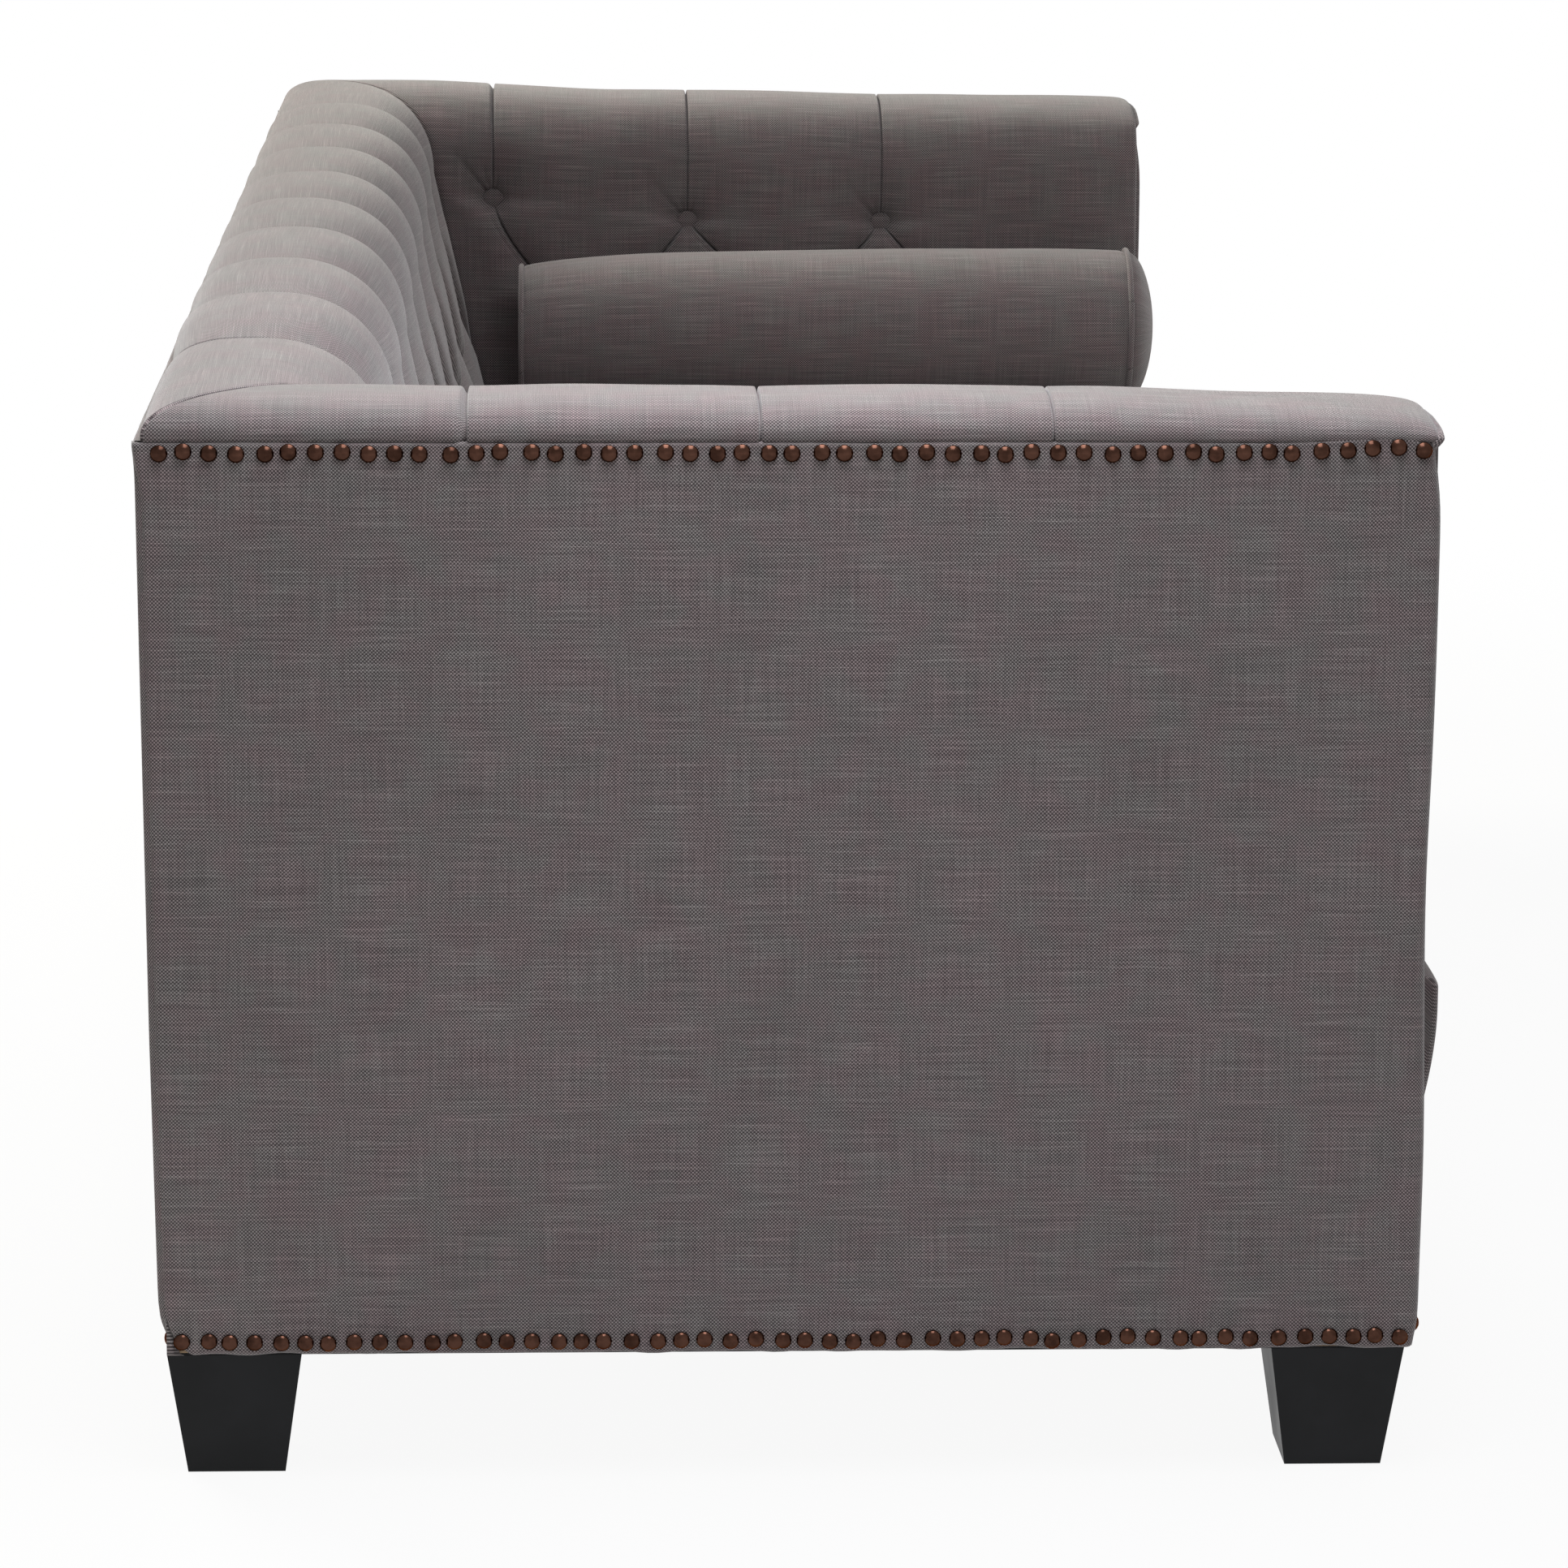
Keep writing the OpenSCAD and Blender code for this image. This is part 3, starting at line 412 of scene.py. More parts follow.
def rgba(colour_value, scale=1.0):
    """Colour with its alpha, brightened by scale."""
    return (*[min(1.0, c * scale) for c in colour_value], 1.0)


# Linen: pitch and sway of the threads, how much each set of threads varies, and the dye's two patches
THREAD = 1.17 * MM
THREAD_SWAY = 1.3 * MM
THREAD_RUN = 16.0
WARP_SLUB = 0.38
WEFT_LIFT = 0.74
WARP_LIFT = 0.42
SLUB_LIT = (0.5, 0.12)
DYE_PATCH = (1.06, 0.935, 0.965, 1.0)
DYE_WIDE = (0.93, 0.96, 0.95, 1.0)


def linen(name, dark, light):
    """Heavy plain-weave linen on the Weave map.

    sin(u) sin(v) at the thread pitch lifts one thread in two, with painted light on the lifted threads and
    painted shade on the sunken ones; noise drawn out along the threads gives slubs, and wide noise gives
    the cloth's uneven dye.
    """
    t = Tree(name)
    place = t.add("ShaderNodeUVMap", uv_map="Weave").outputs[0]
    sway = t.add("ShaderNodeTexNoise", in_Vector=place, in_Scale=55.0, in_Detail=1.0).outputs["Color"]
    sway = t.add("ShaderNodeVectorMath", operation="SUBTRACT", in_0=sway, in_1=(0.5, 0.5, 0.5)).outputs[0]
    sway = t.add("ShaderNodeVectorMath", operation="SCALE", in_0=sway, in_Scale=THREAD_SWAY).outputs[0]
    place = t.add("ShaderNodeVectorMath", operation="ADD", in_0=place, in_1=sway).outputs[0]
    axes = t.add("ShaderNodeSeparateXYZ", in_Vector=place)
    turns = math.pi / THREAD
    across = t.math("SINE", t.math("MULTIPLY", axes.outputs[0], turns))
    along = t.math("SINE", t.math("MULTIPLY", axes.outputs[1], turns))
    weave = t.math("MULTIPLY", across, along)
    weft = t.noise(t.stretch(place, (THREAD_RUN, 1 / THREAD, 1.0)), 1.0, 2.0, 0.6)
    warp = t.noise(t.stretch(place, (1 / THREAD, THREAD_RUN, 1.0)), 1.0, 2.0, 0.6)
    warp_slub = t.math("MULTIPLY", t.ramp(warp, 0.66, 0.84), WARP_SLUB)
    slub = t.math("MAXIMUM", t.ramp(weft, 0.60, 0.80), warp_slub)
    lift = t.ramp(weave, -0.55, 0.95)
    for thread, amount in ((weft, WEFT_LIFT), (warp, WARP_LIFT)):
        lift = t.math("MULTIPLY_ADD", t.math("SUBTRACT", thread, 0.5), amount, lift)
    lit = t.math("MULTIPLY_ADD", t.ramp(weave, -0.2, 0.9), *SLUB_LIT)
    lift = t.math("MULTIPLY_ADD", slub, lit, t.math("MULTIPLY", lift, 0.88))
    lift = t.add("ShaderNodeClamp", in_Value=lift).outputs[0]
    # Lifted threads take the light colour and sunken ones the dark: painted light and shade of the weave
    cloth = t.mix(lift, rgba(dark), rgba(light))
    mottle = t.noise(place, 34.0, 3.0, 0.6)
    cloth = t.mix(t.ramp(mottle, 0.32, 0.68), cloth, DYE_PATCH, "MULTIPLY")
    wide = t.noise(place, 5.0, 2.0, 0.5)
    cloth = t.mix(t.ramp(wide, 0.3, 0.7), cloth, DYE_WIDE, "MULTIPLY")
    t.shader(
        Base_Color=cloth, Roughness=0.88, Specular_IOR_Level=0.18, Sheen_Weight=0.45, Sheen_Roughness=0.5
    )
    height = t.math("MULTIPLY_ADD", t.math("ABSOLUTE", weave), 0.7, t.math("MULTIPLY", slub, 0.5))
    t.bump(height, 0.45, 0.35 * MM)
    return t.material


def lacquered_wood(name, base):
    """Black lacquer over timber: the grain's faint ridges and a satin coat, rubbed paler in places."""
    t = Tree(name)
    place = t.add("ShaderNodeTexCoord").outputs["Object"]
    grain = t.noise(t.stretch(place, (90.0, 90.0, 7.0)), 3.0, 4.0, 0.6)
    haze = t.noise(place, 14.0, 3.0, 0.6)
    t.shader(
        Base_Color=t.mix(t.ramp(haze, 0.3, 0.75), rgba(base), rgba(base, 1.7)),
        Roughness=t.ramp(haze, 0.2, 0.8, 0.36, 0.50),
        Specular_IOR_Level=0.16,
    )
    t.bump(grain, 0.10, 0.3 * MM)
    return t.material


def timber(name, base, axis):
    """Bare timber with its grain along an axis: noise drawn out along the grain, and ring bands."""
    t = Tree(name)
    place = t.add("ShaderNodeTexCoord").outputs["Object"]
    scale = [60.0, 60.0, 60.0]
    scale[axis] = 2.5
    fibre = t.noise(t.stretch(place, scale), 4.0, 5.0, 0.6)
    wide = [12.0, 12.0, 12.0]
    wide[axis] = 0.6
    rings = t.math("SINE", t.math("MULTIPLY", t.noise(t.stretch(place, wide), 1.5, 2.0), 60.0))
    tone = t.math("MULTIPLY_ADD", rings, 0.18, fibre)
    t.shader(
        Base_Color=t.mix(t.ramp(tone, 0.2, 0.8), rgba(base, 0.62), rgba(base, 1.2)), Roughness=0.62,
    )
    t.bump(fibre, 0.2, 0.4 * MM)
    return t.material


def bronze_nail(name, base):
    """Antique bronze: a darker patina in broad patches, with fine wear that takes the shine down."""
    t = Tree(name)
    place = t.add("ShaderNodeTexCoord").outputs["Object"]
    patina = t.noise(place, 70.0, 3.0, 0.6)
    fine = t.noise(place, 900.0, 2.0, 0.5)
    t.shader(
        Base_Color=t.mix(t.ramp(patina, 0.35, 0.7), rgba(base), rgba(base, 0.45)),
        Metallic=1.0,
        Specular_Tint=(0.58, 0.40, 0.31, 1.0),
        Roughness=t.ramp(fine, 0.3, 0.7, 0.16, 0.26),
    )
    t.bump(fine, 0.12, 0.1 * MM)
    return t.material


def steel(name, base):
    """Zinc-plated steel with a cloudy plating."""
    t = Tree(name)
    place = t.add("ShaderNodeTexCoord").outputs["Object"]
    cloud = t.noise(place, 60.0, 3.0, 0.6)
    t.shader(
        Base_Color=t.mix(cloud, rgba(base, 0.8), rgba(base, 1.15)),
        Metallic=1.0,
        Roughness=t.ramp(cloud, 0.3, 0.7, 0.28, 0.45),
    )
    t.bump(cloud, 0.05, 0.2 * MM)
    return t.material


def coarse_cloth(name, base, pitch):
    """Plain cloth on Object coordinates: crossed threads at a pitch, with uneven yarn."""
    t = Tree(name)
    place = t.add("ShaderNodeTexCoord").outputs["Object"]
    axes = t.add("ShaderNodeSeparateXYZ", in_Vector=place)
    turns = math.pi / pitch
    depth = t.math("ADD", axes.outputs[1], axes.outputs[2])
    weave = t.math(
        "MULTIPLY",
        t.math("SINE", t.math("MULTIPLY", axes.outputs[0], turns)),
        t.math("SINE", t.math("MULTIPLY", depth, turns)),
    )
    yarn = t.noise(place, 240.0, 3.0, 0.6)
    tone = t.math("MULTIPLY_ADD", weave, 0.3, yarn)
    t.shader(
        Base_Color=t.mix(t.ramp(tone, 0.2, 0.85), rgba(base, 0.65), rgba(base, 1.25)), Roughness=0.92,
        Sheen_Weight=0.1,
    )
    t.bump(weave, 0.3, 0.4 * MM)
    return t.material


def finish(key):
    """Material of a finish, made once."""
    made = bpy.data.materials.get(key)
    if made:
        return made
    c = bpy.context.scene.sofa_colours
    makers = {
        "linen_cover": lambda: linen(key, c.thread_dark, c.thread_light),
        "lining_cloth": lambda: coarse_cloth(key, c.lining, 1.2 * MM),
        "leg_lacquer": lambda: lacquered_wood(key, c.lacquer),
        "nail_bronze": lambda: bronze_nail(key, c.bronze),
        "zinc_plate": lambda: steel(key, c.steel),
        "jute_strap": lambda: coarse_cloth(key, c.jute, 2.2 * MM),
        "bottom_cambric": lambda: coarse_cloth(key, c.cambric, 1.0 * MM),
    }
    for axis, letter in enumerate("xyz"):
        makers["hardwood_" + letter] = lambda a=axis: timber(key, c.hardwood, a)
        makers["plywood_" + letter] = lambda a=axis: timber(key, c.plywood, a)
    return makers[key]()


# The buttoned padding


def roll(s, angle):
    """Rolled edge as (inward, height) at angles from 0 to pi.

    Up to a quarter turn, c (1 - cos^p) inward and the crown's rise times sin^p; past it, from c to the
    inside face by cos^q, and down the shoulder's drop by sin^q.
    """
    c, rise = s.arm_t * CROWN_SHARE, s.arm_h - s.seam_z
    cos, sin = np.abs(np.cos(angle)), np.sin(angle)
    outer = angle <= math.pi / 2
    inward = np.where(outer, c * (1 - cos**OUTER_POWER), c + (s.arm_t - c) * cos**INNER_POWER)
    shoulder = s.arm_h - s.shoulder_drop
    height = np.where(
        outer, s.seam_z + rise * sin**OUTER_POWER, shoulder + s.shoulder_drop * sin**INNER_POWER
    )
    return inward, height


class Section:
    """Rows of the padding from the top seam, over the roll and down to the foot.

    Holds the arm's and the back's inward place, the height, the outward normal, the run along the
    section, the share of the pleat's depth, the share of a rise of the crown, and the place between
    the button rows (0 to 1).
    """

    def __init__(self, s, roll_rows=72, diamond_rows=42, skirt_rows=22):
        angle = np.linspace(0, math.pi, 1600)
        inward, height = roll(s, angle)
        degrees = np.append(np.degrees(angle), 180.0)
        inward, height = np.append(inward, s.arm_t), np.append(height, s.row_one)
        run = np.concatenate([[0], np.cumsum(np.hypot(np.diff(inward), np.diff(height)))])
        even_pull = 0.35
        at = run[-1] * drawn(roll_rows, even_pull)
        rows_in, rows_z, rows_turn = (np.interp(at, run, v) for v in (inward, height, degrees))
        diamond_z = np.linspace(s.row_one, s.row_two, diamond_rows + 1)[1:]
        skirt_z = np.linspace(s.row_two, s.foot_z, skirt_rows + 1)[1:]
        low_z = np.concatenate([diamond_z, skirt_z])
        self.z = np.concatenate([rows_z, low_z])
        self.arm = np.concatenate([rows_in, np.full(len(low_z), s.arm_t)])
        shoulder = s.arm_h - s.shoulder_drop
        self.back = self.arm + np.maximum(0, shoulder - self.z) * math.tan(s.recline)
        skirt = np.interp(np.linspace(0, 1, skirt_rows + 1)[1:], (0, 0.5, 1), SKIRT_PLEAT_SHARES)
        deepen = np.linspace(0, 1, diamond_rows + 1)[1:]

        def shares(values, full):
            on_roll = np.interp(rows_turn, ROLL_ANGLES, values)
            return np.concatenate([on_roll, values[-1] + (full - values[-1]) * deepen, full * skirt])

        self.arm_share = shares(ARM_ROLL_SHARES, ARM_DIAMOND_SHARE)
        self.back_share = shares(BACK_ROLL_SHARES, BACK_DIAMOND_SHARE)
        inner_rise = np.clip((self.z - s.row_one) / (s.arm_h - s.row_one), 0, 1)
        outer_rise = (self.z - s.seam_z) / (s.arm_h - s.seam_z)
        self.rise = np.where(np.arange(len(self.z)) < np.argmax(self.z), outer_rise, inner_rise)
        self.place = np.clip((s.row_one - self.z) / (s.row_one - s.row_two), 0, 1)
        self.arm_normal = self.normal(self.arm)
        self.back_normal = self.normal(self.back)
        self.run = self.along(self.arm)
        self.back_run = self.along(self.back)
        self.rows = len(self.z)

    def normal(self, inward):
        """Unit normal of a section, a quarter turn from its direction, level at the seam."""
        d_in, d_z = np.gradient(inward), np.gradient(self.z)
        size = np.hypot(d_in, d_z)
        return np.stack([-d_z / size, d_in / size], -1)

    def along(self, inward):
        """Run along a section from its first row."""
        return np.concatenate([[0], np.cumsum(np.hypot(np.diff(inward), np.diff(self.z)))])


# Creases beside a button: their headings in half turns, of which the first is the deepest
RAYS = (0.28, 0.12, 0.40, 0.60, 0.80, 0.95)
RAY_SWAY = 0.03
DEEP_CREASE = 9 * MM
DEEP_REACH = 28 * MM
CREASE_WIDTH = 1.3 * MM
CREASE_SPREAD = 0.04


def puckered(du, dv, seed):
    """Depth, in metres, of the small creases that run out from a button at (0, 0).

    Each crease is a Gaussian groove along a ray, deepest near the button and gone in 45 mm. They run
    upwards (dv < 0), where the cloth is pulled over the crown, and the one at RAYS[0] is the deepest.
    """
    rng = np.random.default_rng(seed)
    r = np.hypot(du, dv)
    angle = np.arctan2(-dv, du)
    total = np.zeros(r.shape)
    for ray in RAYS:
        heading = (ray + rng.uniform(-RAY_SWAY, RAY_SWAY)) * math.pi
        off = np.abs((angle - heading + math.pi) % FULL_TURN - math.pi) * r
        deepest = ray == RAYS[0]
        reach = DEEP_REACH if deepest else rng.uniform(12, 20) * MM
        groove = np.exp(-((off / (CREASE_WIDTH + CREASE_SPREAD * r)) ** 2)) * np.exp(-r / reach)
        depth = DEEP_CREASE if deepest else rng.uniform(3, 6) * MM
        total += depth * groove * smooth(5 * MM, 12 * MM, r)
    return total


class Pleats:
    """Columns that follow the pleats.

    Above the upper buttons the pleats stand at the upper columns, between the rows each parts to both
    sides by half a pitch times place^bend, and below they stand at the lower columns. Each strip
    between two pleats has the same number of columns, drawn towards the pleats. off is the signed
    distance to the nearest pleat, in pitches, half is half the width of the strip, and kind is 1 on a
    pleat that parts to the right and -1 on one that parts to the left.
    """

    def __init__(self, section, uppers, bends, start, end, first_parts, per_strip, pull):
        b = section.place[:, None]
        edges, kinds = [], []
        for i, (k, bend) in enumerate(zip(uppers, bends)):
            if i > 0 or first_parts:
                edges.append(k - b**bend / 2)
                kinds.append(-1)
            edges.append(k + b**bend / 2)
            kinds.append(1)
        full = np.ones_like(b)
        edges = np.concatenate([start * full, *edges, end * full], 1)
        kinds = np.array([0, *kinds, 0])[None, :, None]
        left, right = edges[:, :-1, None], edges[:, 1:, None]
        c = left + (right - left) * drawn(per_strip, pull)[None, None, :-1]
        from_left, from_right = c - left, right - c
        from_left[:, 0] = np.inf
        from_right[:, -1] = np.inf
        to_left = from_left <= from_right
        off = np.where(to_left, from_left, -from_right)
        kind = np.where(to_left, kinds[:, :-1], kinds[:, 1:])
        half = (right - left) / 2 + 0 * c
        self.c = np.concatenate([c.reshape(len(b), -1), end * full], 1)
        self.off = np.concatenate([off.reshape(len(b), -1), end - edges[:, -2:-1]], 1)
        self.kind = np.concatenate([kind.reshape(len(b), -1), full], 1)
        self.half = np.concatenate([half.reshape(len(b), -1), full / 2], 1)


# Along the diamonds: by what place the puffs turn steep, how the recess narrows, how much wider the sharp
# and the easy side of the groove grow per metre of its depth, and the faint crease beside it
STEEP_BY = 0.22
RECESS_POWER = 1.2
HARD_PER_SLIT = 0.26
EASY_PER_SLIT = 0.42
BESIDE_OFF = 7.5 * MM
BESIDE_WIDTH = 1.8 * MM
BESIDE_DEPTH = 1.3 * MM

# Round a button: reach of the dimple, of the calm where folds end, and of the turn from above to below
DIMPLE_REACH = 12 * MM
CALM_REACH = 9 * MM
WELL_TURN = 6 * MM
PUFF_WAVE = 0.7 * MM
PUFF_WAVE_LENGTH = 0.11

# Folds of a face. The groove: its depth, what the pleat's share and the slit along the diamonds add to it,
# and the widths of its sharp and its easy side. The puffs' powers on the far and the near side of a pleat,
# and outside the diamonds. How far the strip under a button is recessed. The well round a button: its depth,
# and its reach above and below.
BACK_FOLDS = {
    "groove": 3.2 * MM, "share": 1.2 * MM, "slit": 8.5 * MM, "hard": 0.8 * MM, "easy": 1.3 * MM,
    "far": 2.0, "near": 3.4, "outer": 14.0, "recess": 1.0,
    "well": 11 * MM, "above": 20 * MM, "below": 12 * MM,
}
ARM_FOLDS = {
    "groove": 5.0 * MM, "share": 0.2 * MM, "slit": 3.0 * MM, "hard": 0.7 * MM, "easy": 0.9 * MM,
    "far": 2.2, "near": 2.2, "outer": 4.5, "recess": 0.4,
    "well": 24 * MM, "above": 21 * MM, "below": 7 * MM,
}


def pleat_sink(s, share, section, pleats, pitch, along, run, buttons, seed, folds):
    """Depth of the cover under its section, and its soft waves, as rows x columns.

    A puff falls to its pleat as depth (1 - w)^p, w being the distance in half pitches and p the power of
    that side of the pleat, steep along the diamonds. Under a button, where the pleats part, the cloth
    lies m + (1 - m)(1 - w)^2 deep, w now being in half widths of the strip and m falling to 0 as it
    widens, so that the puffs above stand up over it. The fold itself is a narrow groove
    exp(-(gap / width)^2), sharp on one side and easy on the other, deeper along the diamonds, where a
    fainter crease runs beside it under the button. Each button draws in a hollow that reaches further
    above it than below, with short creases. Past SINK_FREE the depth levels off towards the padding's
    thickness.
    """
    share, place = share[:, None], section.place[:, None]
    slit = np.sin(math.pi * place)
    inside = np.where(place > 0, -pleats.off * pleats.kind, -pleats.off) * pitch
    power = np.where(pleats.off > 0, folds["far"], folds["near"])
    power = power + (folds["outer"] - power) * smooth(0, STEEP_BY, place)
    outer = (1 - np.minimum(1, 2 * np.abs(pleats.off))) ** power
    middle = folds["recess"] * np.clip(1 - 2 * pleats.half, 0, 1) ** RECESS_POWER
    inner = middle + (1 - middle) * (1 - np.abs(pleats.off) / np.maximum(pleats.half, 1e-6)) ** 2
    puff = np.where((place > 0) & (inside > 0), inner, outer)
    groove = folds["groove"] + folds["share"] * share + folds["slit"] * slit
    hard = folds["hard"] + HARD_PER_SLIT * folds["slit"] * slit
    easy = folds["easy"] + EASY_PER_SLIT * folds["slit"] * slit
    fold = groove * np.exp(-((np.maximum(inside, 0) / easy) ** 2) - (np.maximum(-inside, 0) / hard) ** 2)
    beside = np.exp(-(((inside - BESIDE_OFF) / BESIDE_WIDTH) ** 2)) * smooth(0.03, 0.12, place)
    fold = fold + BESIDE_DEPTH * beside * smooth(0.6, 0.3, place)
    v = run[:, None]
    hollow, calm = np.zeros_like(puff), np.ones_like(puff)
    for i, (at, row) in enumerate(buttons):
        du, dv = along - at, v - row
        r = np.hypot(du, dv)
        reach = folds["below"] + (folds["above"] - folds["below"]) * smooth(WELL_TURN, -WELL_TURN, dv)
        well = folds["well"] * np.exp(-r / reach)
        hollow += s.dimple_depth * np.exp(-((r / DIMPLE_REACH) ** 4)) + well + puckered(du, dv, seed + i)
        calm *= 1 - np.exp(-((r / CALM_REACH) ** 2))
    soft = PUFF_WAVE * waves(along, v + 0 * along, seed, PUFF_WAVE_LENGTH) * (1 - puff)
    sink = s.pleat_depth * share * puff + fold * calm + hollow
    spare = s.pad_t - SINK_FREE - SINK_SPARE
    over = np.maximum(0, sink - SINK_FREE)
    return np.where(over > 0, SINK_FREE + spare * (1 - np.exp(-over / spare)), sink), soft


def back_place(s, c, inward):
    """X of a back column: even pitches, stretched past the last one to meet the corner."""
    last = BACK_COLUMNS * s.back_pitch
    end = (s.half_len - s.arm_t) / s.back_pitch
    past = (np.abs(c) - BACK_COLUMNS) / (end - BACK_COLUMNS)
    corner = np.sign(c) * (last + (s.half_len - inward - last) * past)
    return np.where(np.abs(c) <= BACK_COLUMNS, c * s.back_pitch, corner)


def arm_place(s, c, inward):
    """Y of an arm column: even pitches to the front, drawn in where the back is thick."""
    corner = s.back_y - inward
    first = np.minimum(s.back_y - s.arm_first, corner - CORNER_MARGIN)
    last = s.back_y - s.arm_first - ARM_COLUMNS * s.arm_pitch
    front = s.front_y + PAD_FRONT
    end = ARM_COLUMNS + (last - front) / s.arm_pitch
    y = first + (last - first) * c / ARM_COLUMNS
    y = np.where(c < 0, first + (corner - first) * c / ARM_START, y)
    return np.where(c > ARM_COLUMNS, last + (front - last) * (c - ARM_COLUMNS) / (end - ARM_COLUMNS), y)


# Hidden side: how far the rail that carries the roll lies below the seam, and the weave's run per row
RAIL_DROP = 21.4 * MM
HIDDEN_RUN = 0.1


def carried(s, back):
    """Inward place and height of the hidden side: under the foot, up the frame and over the rail."""
    rest_z = s.seam_z - RAIL_DROP
    shoulder = s.arm_h - s.shoulder_drop

    def inner(z):
        lean = max(0, shoulder - z) * math.tan(s.recline) if back else 0
        return s.arm_t - s.pad_t + lean

    return (
        (inner(s.foot_z), s.foot_z),
        (inner(rest_z), rest_z),
        (s.panel_t, rest_z),
        (s.panel_t, s.seam_z + FIT),
    )


def corner_depth(s, section, from_corner, reach):
    """Extra depth towards the corner seam: a shallow valley and a narrow stitched groove."""
    share = section.arm_share[:, None]
    valley = s.pleat_depth * share * (1 - ease_in(from_corner / reach)) * (0.5 + 0.4 * share)
    return valley + CORNER_STITCH * np.exp(-((from_corner / STITCH_WIDTH) ** 2))


# Rise of the crown at the back corners, and the places along Y where it builds up and where the sag does
RIGHT_RISE = 9 * MM
LEFT_RISE = 0.5 * MM
RISE_FROM, RISE_TO = 0.10, 0.30
SAG_FROM, SAG_TO = 0.05, -0.19


def corner_rise(side):
    """Rise of the crown at a back corner: the right one is stuffed fuller."""
    return np.where(side > 0, RIGHT_RISE, LEFT_RISE)


def arm_rise(s, side, y):
    """Rise of an arm's crown along its length: full at the back corner, and on the right arm a sag."""
    rise = corner_rise(side) * smooth(RISE_FROM, RISE_TO, y)
    if side > 0:
        rise -= ARM_SAG * (smooth(SAG_FROM, SAG_TO, y) - smooth(SLOPE_FROM, SLOPE_TO, y - s.front_y))
    return rise


def with_hidden(points, hidden, run):
    """Padding grid with its hidden rows, and its weave places along the rows and down the section."""
    points = np.concatenate([points, np.array(hidden)])
    down = np.append(run, run[-1] + np.arange(1, len(hidden) + 1) * HIDDEN_RUN)
    return points, down


def inside_back(s, section):
    """The buttoned back: the section carried along the length, sunk along its normal by pleat_sink."""
    end = (s.half_len - s.arm_t) / s.back_pitch
    uppers = np.arange(-BACK_COLUMNS, BACK_COLUMNS + 1)
    pleats = Pleats(section, uppers, [1] * len(uppers), -end, end, True, 32, 0.9)
    c = pleats.c
    x = back_place(s, c, section.arm[:, None])
    run = section.back_run
    row_one, row_two = (np.interp(-z, -section.z, run) for z in (s.row_one, s.row_two))
    buttons = [(k * s.back_pitch, row_one) for k in uppers]
    buttons += [((k + 0.5) * s.back_pitch, row_two) for k in uppers[:-1]]
    sink, soft = pleat_sink(
        s, section.back_share, section, pleats, s.back_pitch, x, run, buttons, BACK_SEED, BACK_FOLDS
    )
    edge = (s.half_len - section.arm[:, None]) - np.abs(x)
    fade = smooth(0, CORNER_FADE, edge)
    sink = sink * fade + corner_depth(s, section, edge, BACK_CORNER_REACH) - soft * fade
    turn = np.exp(-edge / CORNER_TURN)[..., None]
    normal = section.back_normal[:, None] * (1 - turn) + section.arm_normal[:, None] * turn
    full = ease_in((end - np.abs(c)) / LIFT_REACH)
    lift = (s.back_rise * full + corner_rise(c) * (1 - full)) * section.rise[:, None]
    tuck = SEAT_TUCK * np.exp(-section.run / TUCK_RUN)[:, None]
    level = np.where(np.arange(section.rows) < section.rows - 1, 1.0, 0.0)[:, None]
    y = s.back_y - section.back[:, None] + sink * normal[..., 0] - tuck
    z = section.z[:, None] + lift - sink * normal[..., 1] * level
    x = np.sign(x) * (np.abs(x) + turn[..., 0] * (sink * normal[..., 0] - FIT))
    hidden = []
    for inward, height in carried(s, True):
        row_x = back_place(s, c[0], min(inward, s.arm_t - s.pad_t))
        row_y = np.full_like(row_x, s.back_y - inward)
        hidden.append(np.stack([row_x, row_y, np.full_like(row_x, height)], -1))
    points, down = with_hidden(np.stack([x, y, z], -1), hidden, run)
    return points, np.stack(np.broadcast_arrays(points[..., 0], down[:, None]), -1)


def front_round(s, y, side):
    """Share of the crown's rise along an arm: a gentle slope down, then a nose of two exp(-v / length)."""
    v = np.maximum(0, y - s.front_y)
    nose = sum(share * np.exp(-v / reach) for share, reach in zip(NOSE_SHARES[side], NOSE_LENS))
    return np.maximum(0.02, 1 - SLOPE_SHARE * smooth(SLOPE_FROM, SLOPE_TO, v) - nose)


# How far an arm's upper buttons stand off their row, from the back, and the height where that is eased out
ARM_BUTTON_SHIFTS = (7 * MM, -14.5 * MM, -16 * MM)
SHIFT_EASE = 92 * MM


def row_shift(s, section, c):
    """Rise of an arm's padding beside its upper buttons, which don't stand quite level.

    The shift of the nearest columns, eased to nothing at the crown and at the lower buttons.
    """
    at = np.interp(c, np.arange(ARM_COLUMNS + 1), ARM_BUTTON_SHIFTS)
    z = section.z[:, None]
    above = smooth(s.row_one + SHIFT_EASE, s.row_one, z)
    below = np.clip((z - s.row_two) / (s.row_one - s.row_two), 0, 1)
    outer = (np.arange(section.rows) > np.argmax(section.z))[:, None]
    return at * np.minimum(above, below) * outer


